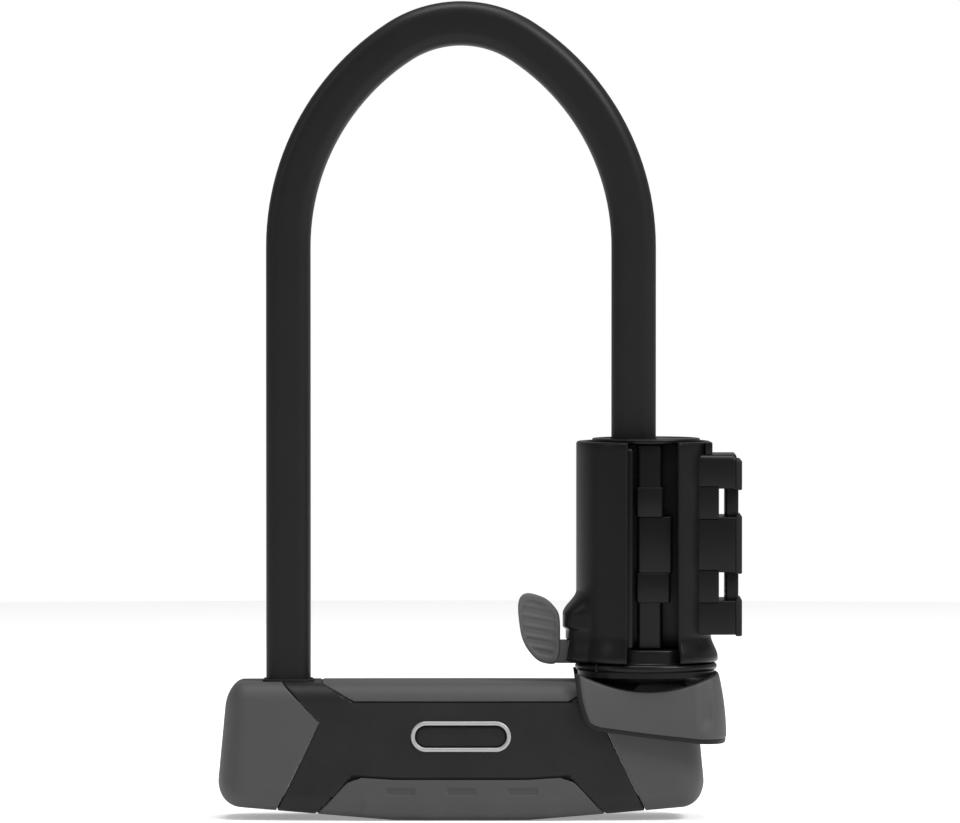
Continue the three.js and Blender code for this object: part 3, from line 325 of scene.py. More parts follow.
grained_black = finish_material("grained_black", plain(0.0095), 0.5, 2100, 1.0, 0.9, specular=0.18)
bracket_black = finish_material("bracket_black", plain(0.004), 0.34, 2600, 0.2, 0.2, specular=0.16)
cap_grey = finish_material("cap_grey", plain(0.052), 0.58, 2400, 0.35, 0.12, specular=0.2)
lever_grey = finish_material("lever_grey", plain(0.085), 0.55, 2400, 0.25, 0.1, specular=0.2)
coat_black = finish_material("coat_black", plain(0.0085, 0.06), 0.4, 1700, 0.25, 0.12, specular=0.15)
rubber_black = finish_material("rubber_black", plain(0.0075), 0.6, 1500, 0.4, 0.2, specular=0.2)
badge_silver = finish_material("badge_silver", plain(0.34), 0.4, 2600, 0.15, 0.1, metallic=0.55)
steel = finish_material("hardened_steel", plain(0.42, 0.04), 0.34, 1100, 0.2, 0.15, metallic=1.0)
zinc = finish_material("cast_zinc", plain(0.38), 0.48, 900, 0.5, 0.25, metallic=1.0)
brass = finish_material("brass", (0.6, 0.43, 0.19, 1), 0.32, 1200, 0.2, 0.15, metallic=1.0)

SLOT_MATERIALS = {
    "black_plastic": bracket_black,
    "grey_plastic": cap_grey,
    "shackle_coating": coat_black,
    "black_rubber": rubber_black,
    "hardened_steel": steel,
    "cast_zinc": zinc,
    "brass": brass,
    "badge_metal": badge_silver,
}


def dress_frame():
    """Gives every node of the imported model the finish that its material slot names."""
    for row in frame["record"]["subparts"]:
        node = frame["nodes"][row["node"]]
        node.data.materials.clear()
        node.data.materials.append(SLOT_MATERIALS[row["material_slot"]])


# --- shackle --------------------------------------------------------------------------------

CROWN_RADIUS = 41 * MM
FLANK_OFFSET = 26 * MM
COAT_ROUND = 5.0 * MM


def shackle_line():
    """Centre line: up the left leg, round a flank arc, the crown arc and the other flank arc, and down.

    Each arc's points are its centre plus its radius times the direction of the angle. The second
    result is the direction that points outwards across the line.
    """
    flank_radius = LEG_X + FLANK_OFFSET
    rise = math.sqrt((flank_radius - CROWN_RADIUS) ** 2 - FLANK_OFFSET**2)
    straight_end = ARCH_TOP - CROWN_RADIUS - rise
    split = math.atan2(rise, FLANK_OFFSET)
    flank = np.linspace(0, split, 26)
    crown = np.linspace(split, math.pi - split, 30)[1:-1]
    angle = np.concatenate([[0], flank, crown, math.pi - flank[::-1], [math.pi]])
    on_crown = (angle > split) & (angle < math.pi - split)
    radius = np.where(on_crown, CROWN_RADIUS, flank_radius)
    side = np.where(angle < math.pi / 2, -1, 1)
    centre_x = np.where(on_crown, 0, side * FLANK_OFFSET)
    centre_z = np.where(on_crown, straight_end + rise, straight_end)
    x = centre_x + radius * np.cos(angle)
    z = centre_z + radius * np.sin(angle)
    z[[0, -1]] = COAT_FOOT
    return np.stack([x, z], axis=-1), np.stack([np.cos(angle), np.sin(angle)], axis=-1)


def shackle_coat():
    """A rounded square carried along the centre line."""
    line, outward = shackle_line()
    across = rounded_loop(LEG_HALF, LEG_HALF, COAT_ROUND, 9)
    x = BAR_X + line[:, None, 0] + across[:, 0] * outward[:, None, 0]
    z = line[:, None, 1] + across[:, 0] * outward[:, None, 1]
    y = np.broadcast_to(across[:, 1], x.shape)
    parts = [tube(np.stack([x, y, z], axis=-1))]
    solid("shackle_sleeve", parts, "shackle", ["shackle_coat"], coat_black)


# --- crossbar -------------------------------------------------------------------------------

END_DEPTH = 19.3 * MM
END_SLOPE = 4.25 * MM
FOOT_HALF = 24 * MM
FOOT_RISE = 5.2 * MM
LONG_EDGE = 7 * MM
END_CORNER = 9 * MM
NOSE = 12 * MM
SEAM = 0.35 * MM
RIM = 0.5 * MM
SHELL = 1.6 * MM
CAP_TOP = BODY_END - 24.3 * MM
CAP_POINT = BODY_END - 37.3 * MM
CAP_FOOT = BODY_END - 22.1 * MM
CAP_POINT_HEIGHT = 35 * MM
TOP_STRIP_HALF = CAP_TOP - 14.2 * MM
TOP_STRIP_SLOPE = 11.6 * MM
TOP_STRIP_LIP = 6.4 * MM
FOOT_STRIP_HALF = CAP_FOOT - 14.8 * MM
FOOT_STRIP_SLOPE = 12.6 * MM
FOOT_STRIP_HEIGHT = 15 * MM
BADGE_HALF_WIDTH = 18 * MM
BADGE_HALF_HEIGHT = 5.5 * MM
BADGE_HEIGHT = middle("badge_ring", 2)
BADGE_RECESS = 1.1 * MM
BORDER_HALF = 0.75 * MM


def around(turn, share_y, share_z):
    """Stations round the crossbar's section: the skin's direction, and the places on its flats."""
    return np.broadcast_arrays(*(np.asarray(value, float) for value in (turn, share_y, share_z)))


def join(*stretches):
    """Joins stretches of stations end to end and drops the doubled ones."""
    rows = np.concatenate([np.stack(stretch) for stretch in stretches], axis=1)
    keep = np.r_[True, np.abs(np.diff(rows, axis=1)).sum(axis=0) > 1e-9]
    return rows[:, keep]


def height_share(height):
    """Where a height lies on the front's flat stretch, from -1 at its foot to 1 at its top."""
    return (height - BODY_TOP / 2) / (BODY_TOP / 2 - LONG_EDGE)


QUARTER = np.linspace(0, math.pi / 2, 9)
BADGE_SHARES = height_share(BADGE_HEIGHT + np.linspace(-6.6, 6.6, 34) * MM)
FRONT_SHARES = np.unique(np.concatenate([
    np.linspace(-1, 1, 25), BADGE_SHARES, [height_share(CAP_POINT_HEIGHT)],
]))


def front_stations():
    """From the middle of the underside, round the front and up to the middle of the top."""
    underside = around(-math.pi / 2, -np.linspace(0, 1, 6), -1)
    foot_edge = around(-math.pi / 2 - QUARTER, -1, -1)
    face = around(-math.pi, -1, FRONT_SHARES)
    top_edge = around(-math.pi - QUARTER, -1, 1)
    top = around(-1.5 * math.pi, -np.linspace(1, 0, 6), 1)
    return join(underside, foot_edge, face, top_edge, top)


def station_height(stations):
    """Height of each station on the crossbar's widest section."""
    turn, share_z = stations[0], stations[2]
    return BODY_TOP / 2 + share_z * (BODY_TOP / 2 - LONG_EDGE) + LONG_EDGE * np.sin(turn)


def skin(x, stations, sunk=0.0):
    """The crossbar's surface at x, for stations round its section.

    The section is a rounded rectangle. Its half depth follows a shallow parabola along the bar and then
    the quarter oval of the nose. Its top and foot draw in round the corners of the end, and the foot
    rises in a straight line from the flat middle. A sunk surface lies that far inside.
    """
    turn, share_y, share_z = stations
    distance = np.abs(x)
    nose_start = BODY_END - NOSE
    into_nose = np.clip((distance - nose_start) / NOSE, 0, 1)
    oval = 1 - (1 - np.sqrt(1 - into_nose)) ** 2
    bow = BODY_DEPTH - (BODY_DEPTH - END_DEPTH) * np.minimum(distance / nose_start, 1) ** 2
    into_corner = np.clip((distance - (BODY_END - END_CORNER)) / END_CORNER, 0, 1)
    drawn = END_CORNER * (1 - np.sqrt(1 - into_corner**2))
    foot = FOOT_RISE * np.clip((distance - FOOT_HALF) / (BODY_END - FOOT_HALF), 0, 1) + drawn + sunk
    top = BODY_TOP - drawn - sunk
    depth = np.maximum(bow * oval - sunk, 0.02 * MM)
    half = (top - foot) / 2
    edge = np.minimum(np.minimum(LONG_EDGE - np.minimum(sunk, LONG_EDGE / 2), depth), half)
    y = share_y * (depth - edge) + edge * np.cos(turn)
    z = (top + foot) / 2 + share_z * (half - edge) + edge * np.sin(turn)
    slope = END_SLOPE * (z - FOOT_RISE) / (BODY_TOP - FOOT_RISE)
    out = BAR_X + np.sign(x) * (distance - into_nose * (slope + sunk))
    return np.stack([out, np.broadcast_to(y, out.shape), z], axis=-1)


def cap_seam(height):
    """Where an end cap starts at a height: a point, and straight lines up and down from it."""
    above = (height - CAP_POINT_HEIGHT) / (BODY_TOP - CAP_POINT_HEIGHT) * (CAP_TOP - CAP_POINT)
    below = (CAP_POINT_HEIGHT - height) / CAP_POINT_HEIGHT * (CAP_FOOT - CAP_POINT)
    return CAP_POINT + np.where(height > CAP_POINT_HEIGHT, above, below)


def rim_rows(radius, depth, steps=4):
    """A rounded rim in section, from the face inwards: (how far out along the surface, how far sunk)."""
    turn = np.linspace(0, math.pi / 2, steps)
    out = np.concatenate([radius * np.sin(turn), [radius]])
    sunk = np.concatenate([radius * (1 - np.cos(turn)), [depth]])
    return out, sunk


def end_cap(name, side, slot_material):
    """The skin from the seam to the end, as a cup: out along the outside, round the rim and back inside."""
    front = front_stations()
    back = front[:, ::-1][:, 1:-1] * np.array([1, -1, 1])[:, None]
    back[0] = math.pi - back[0]
    loop = np.concatenate([front, back], axis=1)
    seam = cap_seam(station_height(loop))[None, :]
    slowing = np.sin(np.linspace(0, math.pi / 2, 26))
    share = np.concatenate([np.linspace(0, 0.55, 16)[:-1], 0.55 + 0.45 * slowing])
    share = np.minimum(share, 0.9995)[::-1, None]
    out, sunk = rim_rows(RIM, SHELL)
    outside = seam + RIM + (BODY_END - seam - RIM) * share
    rim = seam + RIM - out[:, None]
    inside = seam + (BODY_END - SHELL - seam) * np.linspace(0.02, 0.93, 14)[:, None]
    rows = np.concatenate([outside, rim, inside])
    depths = np.concatenate([np.zeros(len(outside)), sunk, np.full(len(inside), SHELL)])[:, None]
    points = skin(side * rows, loop[:, None, :], depths)
    node = f"{'left' if side < 0 else 'right'}_end_cap"
    return solid(name, [tube(points)], "crossbar", [node], slot_material)


def badge_distance(x, z):
    """How far a point of the front lies outside the badge's outline, a bar with round ends."""
    straight = BADGE_HALF_WIDTH - BADGE_HALF_HEIGHT
    along = np.maximum(np.abs(x) - straight, 0)
    return np.hypot(along, z - BADGE_HEIGHT) - BADGE_HALF_HEIGHT


def cover(name, side, node):
    """The black skin between the caps. It dips under the two grey strips and behind the badge."""
    stations = front_stations()
    if side > 0:
        stations = stations * np.array([1, -1, 1])[:, None]
        stations[0] = math.pi - stations[0]
    height = station_height(stations)
    reach = cap_seam(height)[None, :] - SEAM
    fine = np.arange(-20, 20.01, 0.6) * MM
    middle_rows = np.broadcast_to(fine[:, None], (len(fine), len(height)))
    share = np.linspace(0, 1, 40)[1:, None]
    out, sunk = rim_rows(RIM, SHELL)
    right = fine[-1] + (reach - RIM - fine[-1]) * share
    rim = reach - RIM + out[:, None]
    rows = np.concatenate([-rim[::-1], -right[::-1], middle_rows, right, rim])
    depths = np.concatenate([sunk[::-1], np.zeros(len(rows) - 2 * len(sunk)), sunk])[:, None]
    distance = np.abs(rows)
    top_edge = TOP_STRIP_HALF - TOP_STRIP_SLOPE * np.clip((BODY_TOP - height) / TOP_STRIP_LIP, 0, 1)
    foot_edge = FOOT_STRIP_HALF - FOOT_STRIP_SLOPE * np.clip(height / FOOT_STRIP_HEIGHT, 0, 1)
    sharp = 0.5 * MM
    under_top = smooth(BODY_TOP - TOP_STRIP_LIP - SEAM, BODY_TOP - TOP_STRIP_LIP + sharp, height)
    under_top = under_top * (1 - smooth(top_edge - sharp, top_edge + SEAM, distance))
    under_foot = 1 - smooth(FOOT_STRIP_HEIGHT - sharp, FOOT_STRIP_HEIGHT + SEAM, height)
    under_foot = under_foot * (1 - smooth(foot_edge - sharp, foot_edge + SEAM, distance))
    dip = SHELL * np.maximum(under_top, under_foot)
    if side < 0:
        dip = dip + BADGE_RECESS * (1 - smooth(-1.0 * MM, -0.3 * MM, badge_distance(rows, height)))
    outer = skin(rows, stations[:, None, :], np.maximum(depths, dip))
    inner = skin(rows, stations[:, None, :], SHELL + np.maximum(depths, dip))
    return solid(name, [slab(outer, inner)], "crossbar", [node], grained_black)


def strip_grid(stations, half, height, crown=None):
    """A strip of the skin, from -half to half at each station, with its rim rounded all the way round."""
    out, sunk = rim_rows(RIM, SHELL)
    share = np.linspace(-1, 1, 161)[:, None]
    rows = (half - RIM)[None, :] * share
    rim = (half - RIM)[None, :] + out[:, None]
    rows = np.concatenate([-rim[::-1], rows, rim])
    depths = np.concatenate([sunk[::-1], np.zeros(len(rows) - 2 * len(sunk)), sunk])[:, None]
    depths = np.broadcast_to(depths, rows.shape).copy()
    lip = np.concatenate([sunk[::-1], np.zeros(rows.shape[1] - 2 * len(sunk)), sunk])[None, :]
    depths = np.maximum(depths, lip)
    if crown is not None:
        depths = depths - crown(rows, height[None, :], stations) * (depths < SHELL / 2)
    outer = skin(rows, stations[:, None, :], depths)
    inner = skin(rows, stations[:, None, :], np.full(rows.shape, 1.25 * SHELL))
    return slab(outer, inner)


def both_faces(half_stations):
    """Stations over one face, followed by the mirrored stations of the other."""
    other = half_stations[:, ::-1][:, 1:] * np.array([1, -1, 1])[:, None]
    other[0] = math.pi - other[0]
    return np.concatenate([half_stations, other], axis=1)


def top_strip():
    """The grey strip that wraps over the top and a little way down each face."""
    lip = BODY_TOP - TOP_STRIP_LIP
    start = math.asin((lip - (BODY_TOP - LONG_EDGE)) / LONG_EDGE)
    edge = np.linspace(start, math.pi / 2, 12)
    rim_edge = start + np.array([0.0, 0.004, 0.012, 0.03, 0.06])
    turn = -math.pi - np.concatenate([rim_edge, edge[1:]])
    stations = join(around(turn, -1, 1), around(-1.5 * math.pi, -np.linspace(1, 0, 6), 1))
    stations = both_faces(stations)
    height = station_height(stations)
    half = TOP_STRIP_HALF - TOP_STRIP_SLOPE * (BODY_TOP - height) / TOP_STRIP_LIP
    grid = strip_grid(stations, half, height)
    solid("top_cover_strip", [grid], "crossbar", ["top_strip"], cap_grey)


GRIP_PITCH = 22 * MM
GRIP_HALF = 5.2 * MM
GRIP_HEIGHT = 10.6 * MM
SCALLOP_HALF = 6.2 * MM
SCALLOP_RISE = 0.9 * MM


def grip_crown(x, height, stations):
    """The foot strip's grip: shallow bars sunk in its face, and a scallop that swells between each two."""
    on_face = np.abs(stations[1])[None, :] > 0.99
    phase = np.abs((x + GRIP_PITCH / 2) % GRIP_PITCH - GRIP_PITCH / 2)
    within = np.abs(x) < 1.6 * GRIP_PITCH
    edge = 0.5 * MM
    bar = (1 - smooth(GRIP_HALF - edge, GRIP_HALF + edge, phase))
    bar = bar * (1 - smooth(0.9 * MM, 1.5 * MM, np.abs(height - GRIP_HEIGHT)))
    between = np.abs(x % GRIP_PITCH - GRIP_PITCH / 2)
    scallop = hump(between, 0, SCALLOP_HALF) * hump(height, 2.5 * MM, 7 * MM)
    facing = np.cos(stations[0])[None, :] ** 2
    return on_face * facing * within * (SCALLOP_RISE * scallop - 0.55 * MM * bar)


HOLE_LEVEL = 1.5 * MM
KEY_HOLE_HALF = np.array([2.5, 4.5, 4]) * MM
SHUTTER_TRACK = np.array([-2.6, 7.7]) * MM
SHUTTER_TRACK_HALF_WIDTH = 3.3 * MM


def foot_strip():
    """The grey strip that wraps under the crossbar, with its grip along both faces."""
    rim = np.array([0, 0.04, 0.16, 0.5]) * MM
    heights = np.concatenate([FOOT_STRIP_HEIGHT - rim, np.linspace(14.2, 7.05, 26) * MM])
    face = around(-math.pi, -1, height_share(heights))
    foot_edge = around(-math.pi / 2 - QUARTER[::-1], -1, -1)
    underside = around(-math.pi / 2, -np.linspace(1, 0, 8), -1)
    stations = both_faces(join(face, foot_edge, underside))
    height = station_height(stations)
    half = FOOT_STRIP_HALF - FOOT_STRIP_SLOPE * height / FOOT_STRIP_HEIGHT
    corner = smooth(FOOT_STRIP_HEIGHT - 3.5 * MM, FOOT_STRIP_HEIGHT, height)
    half = half - 3.2 * MM * corner**2
    grid = strip_grid(stations, half, height, grip_crown)
    made = solid("foot_strip", [grid], "crossbar", ["bottom_strip"], cap_grey)
    cut(made, np.array([BAR_X, 0, HOLE_LEVEL]), KEY_HOLE_HALF)
    shutter_end = high("keyhole_shutter").x
    travel = shutter_end + SHUTTER_TRACK
    track = np.array([np.ptp(travel) / 2, SHUTTER_TRACK_HALF_WIDTH, KEY_HOLE_HALF[2]])
    cut(made, np.array([travel.mean(), 0, HOLE_LEVEL]), track)


def badge():
    """A rounded ring laid round a bar with round ends, and the blank plate inside it."""
    straight = BADGE_HALF_WIDTH - BADGE_HALF_HEIGHT
    turn = np.concatenate([np.linspace(-90, 90, 25), np.linspace(90, 270, 25)]) * math.pi / 180
    side = np.repeat([1, -1], 25)
    direction = np.stack([np.cos(turn), np.sin(turn)], axis=-1)
    section = rounded_loop(BORDER_HALF, 0.8 * MM, 0.55 * MM, 5)
    radius = BADGE_HALF_HEIGHT - BORDER_HALF + section[:, 0]
    x = BAR_X + (side * straight)[:, None] + radius * direction[:, None, 0]
    z = BADGE_HEIGHT + radius * direction[:, None, 1]
    y = -BODY_DEPTH + 0.3 * MM + np.broadcast_to(section[:, 1], x.shape)
    parts = [ring(np.stack([x, y, z], axis=-1))]
    solid("badge_border", parts, "crossbar", ["badge_ring"], badge_silver)
    shrink = np.array([1.9, 1.75, 1.75, 2.1, 2.9, 5.3]) * MM
    depth = -BODY_DEPTH + np.array([1.9, 1.5, 0.75, 0.45, 0.35, 0.35]) * MM
    radius = BADGE_HALF_HEIGHT - shrink[:, None]
    x = BAR_X + side * straight + radius * direction[:, 0]
    z = BADGE_HEIGHT + radius * direction[:, 1]
    y = np.broadcast_to(depth[:, None], x.shape)
    plate = [tube(np.stack([x, y, z], axis=-1))]
    solid("badge_blank", plate, "crossbar", ["badge_plate"], grained_black)


COLLAR_HALF = 9.0 * MM
COLLAR_ROUND = 4.2 * MM
COLLAR_PROUD = 0.8 * MM
COLLAR_ROOM = 0.3 * MM
PASSAGE_HALF_HEIGHT = 4 * MM


def leg_collar():
    """The collar that lines the left leg's hole: a rounded square tube with a round top edge."""
    foot = low("left_leg_bushing").z
    top = BODY_TOP + COLLAR_PROUD
    wall = COLLAR_HALF - LEG_HALF - COLLAR_ROOM
    turn = np.linspace(0, math.pi, 7)
    edge = wall / 2
    half = np.concatenate([[COLLAR_HALF], COLLAR_HALF - edge + edge * np.cos(turn), [COLLAR_HALF - wall]])
    height = np.concatenate([[foot], top - edge + edge * np.sin(turn), [foot]])
    loops = np.stack([rounded_loop(size, size, COLLAR_ROUND - COLLAR_HALF + size) for size in half])
    level = np.broadcast_to(height[:, None], loops.shape[:2])
    points = np.stack([BAR_X - LEG_X + loops[..., 0], loops[..., 1], level], axis=-1)
    solid("leg_collar", [ring(points)], "crossbar", ["left_leg_bushing"], rubber_black)


# --- adapter --------------------------------------------------------------------------------

LEG_ROOM = LEG_HALF + 0.3 * MM
NECK_RADIUS = 20.5 * MM
NECK_WIDE = 24.6 * MM
HUB_TOP = high("adapter_base").z
RING_TOP = HOUSING_FOOT - 0.3 * MM
NECK_TOP = RING_TOP - 2.9 * MM
HUB_PAST_CAP = 2.1 * MM
TICK_ANGLE = math.radians(-136)
TICK_SUNK = 0.5 * MM
TICK_HALF = np.array([0.5, 0.6, 1.5]) * MM


def collar(profile, steps=96):
    """A turned ring with a square hole for the leg, from [radius, height] points round its outside.

    The first and last heights are joined down the hole, whose outline is its half width over the
    larger of |cos| and |sin| of the angle.
    """
    turn = np.linspace(0, 2 * math.pi, steps, endpoint=False)
    direction = np.stack([np.cos(turn), np.sin(turn)], axis=-1)
    square = LEG_ROOM / np.abs(direction).max(axis=1)
    profile = np.asarray(profile)
    radius = np.broadcast_to(profile[:, :1], (len(profile), steps))
    round_x = SPOOL_X + radius * direction[:, 0]
    round_y = radius * direction[:, 1]
    hole_x = np.tile(SPOOL_X + LEG_FROM_SPOOL + square * direction[:, 0], (2, 1))
    hole_y = np.tile(square * direction[:, 1], (2, 1))
    x = np.concatenate([hole_x[:1], round_x, hole_x[1:]])
    y = np.concatenate([hole_y[:1], round_y, hole_y[1:]])
    z = np.concatenate([profile[:1, 1], profile[:, 1], profile[-1:, 1]])
    z = np.broadcast_to(z[:, None], x.shape)
    return ring(np.stack([x, y, z], axis=-1))


def arc(centre_radius, centre_height, radius, start, stop, steps=6):
    """A stretch of a turned profile: a quarter or half circle, by its angles in degrees."""
    turn = np.radians(np.linspace(start, stop, steps))
    return np.stack([centre_radius + radius * np.cos(turn), centre_height + radius * np.sin(turn)], axis=-1)


def adapter_base():
    """The neck, the ring with a round rim, and the hub that the bracket's housing drops over."""
    foot = low("adapter_base").z
    rim = (RING_TOP - NECK_TOP) / 2
    hub = high("spool_cap").x - SPOOL_X + HUB_PAST_CAP
    lead = 0.8 * MM
    profile = np.concatenate([
        [[NECK_RADIUS, foot], [NECK_WIDE, foot + 1.6 * MM], [NECK_WIDE, NECK_TOP]],
        arc(RING_RADIUS - rim, NECK_TOP + rim, rim, -90, 90, 11),
        [[hub + 0.3 * MM, RING_TOP], [hub, RING_TOP + 0.3 * MM]],
        arc(hub - lead, HUB_TOP - lead, lead, 0, 90),
    ])
    parts = [collar(profile)]
    tick = np.array([math.cos(TICK_ANGLE), math.sin(TICK_ANGLE), 0]) * (RING_RADIUS - TICK_SUNK)
    tick = tick + np.array([SPOOL_X, 0, NECK_TOP + rim])
    parts.append(block(tick, TICK_HALF, 0.4 * MM, 0.3 * MM))
    solid("adapter_ring", parts, "crossbar", ["adapter_base"], bracket_black)


def spool_cap():
    """The flat cap that closes the spool, with a rounded rim."""
    radius = high("spool_cap").x - SPOOL_X
    foot, top = low("spool_cap").z, high("spool_cap").z
    edge = 0.6 * MM
    profile = np.concatenate([
        arc(radius - edge, foot + edge, edge, -90, 0),
        arc(radius - edge, top - edge, edge, 0, 90),
        [[radius - 2.2 * MM, top], [radius - 2.6 * MM, top - 0.35 * MM]],
    ])
    solid("spool_lid", [collar(profile)], "crossbar", ["spool_cap"], bracket_black)


RIB_REACH = 17 * MM
RIB_LEFT = -3.3 * MM
RIB_RIGHT = 5.3 * MM
RIB_WIDE = 9.3 * MM
BAND_STEP = 0.7 * MM
HAIR = 0.15 * MM
BAND_HEIGHT = 10.6 * MM
BAND_PITCH = 30.9 * MM


def spool():
    """The cross-shaped column: a sleeve round the leg, three ribs, and two bands that stand a little proud.

    The front and rear ribs are wider on one side between the bands.
    """
    foot, top = low("adapter_spool").z, high("adapter_spool").z
    level = (SADDLE_FOOT + SADDLE_TOP) / 2
    half_height = (top - foot) / 2
    centre = (top + foot) / 2
    rounding = 1.2 * MM
    sleeve = LEG_ROOM + 1.5 * MM
    near = LEG_ROOM * 0.9
    between = (BAND_PITCH - BAND_HEIGHT) / 2
    spans = [
        (RIB_LEFT, RIB_RIGHT, centre, half_height, 0.0),
        (RIB_LEFT - HAIR, RIB_WIDE, level, between, HAIR),
        (RIB_LEFT - BAND_STEP, RIB_RIGHT + BAND_STEP, level + BAND_PITCH / 2, BAND_HEIGHT / 2, BAND_STEP),
        (RIB_LEFT - BAND_STEP, RIB_WIDE - BAND_STEP, level - BAND_PITCH / 2, BAND_HEIGHT / 2, BAND_STEP),
    ]
    parts = []
    for sign in (-1, 1):
        for left, right, height, half, proud in spans:
            reach = RIB_REACH + proud
            at = np.array([SPOOL_X + (left + right) / 2, sign * (reach + near) / 2, height])
            size = np.array([(right - left) / 2, (reach - near) / 2, half])
            parts.append(block(at, size, rounding, 0.45 * MM))
    right_start = LEG_FROM_SPOOL + sleeve - 0.5 * MM
    size = np.array([(RIB_REACH - right_start) / 2, (RIB_WIDE - RIB_LEFT) / 2, half_height])
    at = np.array([SPOOL_X + (RIB_REACH + right_start) / 2, 0, centre])
    parts.append(block(at, size, rounding, 0.4 * MM))
    wall = (sleeve - LEG_ROOM) / 2
    for side in (-1, 1):
        at = np.array([SPOOL_X + LEG_FROM_SPOOL + side * (LEG_ROOM + wall), 0, centre])
        parts.append(block(at, np.array([wall, sleeve, half_height]), 0.4 * MM, 0.4 * MM))
        at = np.array([SPOOL_X + LEG_FROM_SPOOL, side * (LEG_ROOM + wall), centre])
        parts.append(block(at, np.array([sleeve, wall, half_height]), 0.4 * MM, 0.4 * MM))
    solid("spool_column", parts, "crossbar", ["adapter_spool"], bracket_black)


BOOT_LEFT = 24.9 * MM
BOOT_CORNER = 14 * MM
BOOT_RIM = NECK_TOP - 0.3 * MM
BOOT_SCOOP = 6.5 * MM
BOOT_RIGHT = high("adapter_boot").x - SPOOL_X
BOOT_DEPTH = high("adapter_boot").y
BOOT_LEAN = 3 * MM
BOOT_FACE_LEAN = 2.6 * MM
GROOVE_AT = 21.5 * MM


def boot_skin(share, rise, sunk, grow=0.0):
    """The boot's surface: share runs from its front edge round the crossbar's end to its back edge.

    Rise runs from its foot to its scooped rim. The plan is a bar with one rounded end, the foot a
    line that drops towards the end, the rim a parabola between two shoulders.
    """
    left = -BOOT_LEFT - grow + 1.8 * MM * (1 - rise) + 2.4 * MM * (1 - rise) ** 4
    straight = BOOT_RIGHT - BOOT_CORNER
    bend = np.clip((share - 0.3) / 0.4, 0, 1) * math.pi
    front = np.clip(share / 0.3, 0, 1)
    back = np.clip((1 - share) / 0.3, 0, 1)
    flat = np.minimum(front, back)
    square = 1 / (np.abs(np.sin(bend)) ** 3 + np.abs(np.cos(bend)) ** 3) ** (1 / 3)
    out = grow - sunk
    depth = BOOT_DEPTH + out - BOOT_FACE_LEAN * rise**2
    x = np.where(flat < 1, left + (straight - left) * flat,
                 straight + (BOOT_CORNER + out - BOOT_LEAN * rise**2) * square * np.sin(bend))
    y = np.where(flat < 1, np.where(share < 0.5, -1, 1) * depth, -depth * square * np.cos(bend))
    along = np.clip((x + BOOT_LEFT) / (BOOT_RIGHT - 3 * MM + BOOT_LEFT), 0, 1)
    rim = BOOT_RIM - 4 * BOOT_SCOOP * along * (1 - along)
    foot = np.interp(x, np.array([-15, 1.5, 19.5, 29]) * MM, np.array([33.4, 31.2, 29.1, 28.8]) * MM)
    foot = foot + 5 * MM * np.clip((-14 * MM - x) / (10 * MM), 0, 2) ** 2.2
    z = foot - grow + (rim - foot + grow) * rise
    groove = hump(x, GROOVE_AT, 3.5 * MM) * smooth(0.1, 0.4, rise)
    y = y * (1 - 0.07 * groove)
    return np.stack([SPOOL_X + x, y, z], axis=-1)


def boot_sheet(wall, face, grow, rounding):
    """A sheet of the boot's surface with rounded edges all the way round, as a slab."""
    curve = np.linspace(0, math.pi / 2, 5)
    side_band = 0.012
    end_band = 0.06
    edge_share = side_band * (1 - np.cos(curve))
    share = np.concatenate([edge_share, np.linspace(0.014, 0.986, 120), 1 - edge_share[::-1]])
    edge_rise = end_band * (1 - np.cos(curve))
    rise = np.concatenate([edge_rise, np.linspace(0.07, 0.93, 26), 1 - edge_rise[::-1]])
    near_side = np.clip(1 - np.minimum(share, 1 - share) / side_band, 0, 1)
    near_end = np.clip(1 - np.minimum(rise, 1 - rise) / end_band, 0, 1)
    drop_share = rounding * (1 - np.sqrt(1 - near_side**2))
    drop_rise = rounding * (1 - np.sqrt(1 - near_end**2))
    drawn = np.maximum(drop_share[None, :], drop_rise[:, None])
    grid_share, grid_rise = np.meshgrid(share, rise)
    outer = boot_skin(grid_share, grid_rise, face + drawn, grow)
    inner = boot_skin(grid_share, grid_rise, np.full(grid_share.shape, wall), grow)
    return slab(outer, inner)


SCREW_ROOM = 3.6 * MM


def boot():
    """The grey shell that clamps the adapter on the crossbar's corner."""
    sheet = boot_sheet(2.6 * MM, 0.0, 0.0, 1.6 * MM)
    made = solid("boot_shell", [sheet], "crossbar", ["adapter_boot"], cap_grey)
    for index in (1, 2):
        node = f"clamp_screw_{index}"
        at = np.array([middle(node, 0), high(node).y, middle(node, 2)])
        cut(made, at, np.array([SCREW_ROOM, 2 * MM, SCREW_ROOM]))


def gasket_and_painted_shadow():
    """A dark rubber lining beside and under the boot: partly a seal, partly painted shadow of the boot."""
    # Grown out at the left side and foot only, where the boot's shadow falls: there the dark sheet is
    # painted shadow.
    sheet = boot_sheet(2.8 * MM, 1.5 * MM, 1.2 * MM, 0.4 * MM)
    solid("boot_lining_and_painted_shadow", [sheet], "crossbar", ["boot_gasket"], rubber_black)


# --- bracket --------------------------------------------------------------------------------

WALL_RADIUS = 25.2 * MM
BORE = 22.2 * MM
SLOT_LEFT = -7.05 * MM
SLOT_RIGHT = 11.65 * MM
SKIRT_FLARE = 0.7 * MM
SKIRT_HEIGHT = 9.5 * MM
SADDLE_SIDE_SLIM = 1.8 * MM
WALL_EDGE = 0.9 * MM
RAIL_SHIFT = np.array([0.9, 0.4, 1.6]) * MM
RAIL_HALF_WIDTH = 1.05 * MM
RAIL_HALF_DEPTH = 1.1 * MM
RAIL_SHORT = 3.8 * MM
HOOK_FROM_TOP = np.array([22.3, -11.6, -2.4]) * MM
HOOK_HALF = np.array([1.4, 1.6, 2.4]) * MM
POCKET_FROM_PIN = np.array([-27, -2, 4.35]) * MM
POCKET_HALF = np.array([6, 7, 4.05]) * MM
BULGE_REACH = 4.9 * MM
BULGE_SHELF = 12.1 * MM
BULGE_HEIGHT = 25.6 * MM


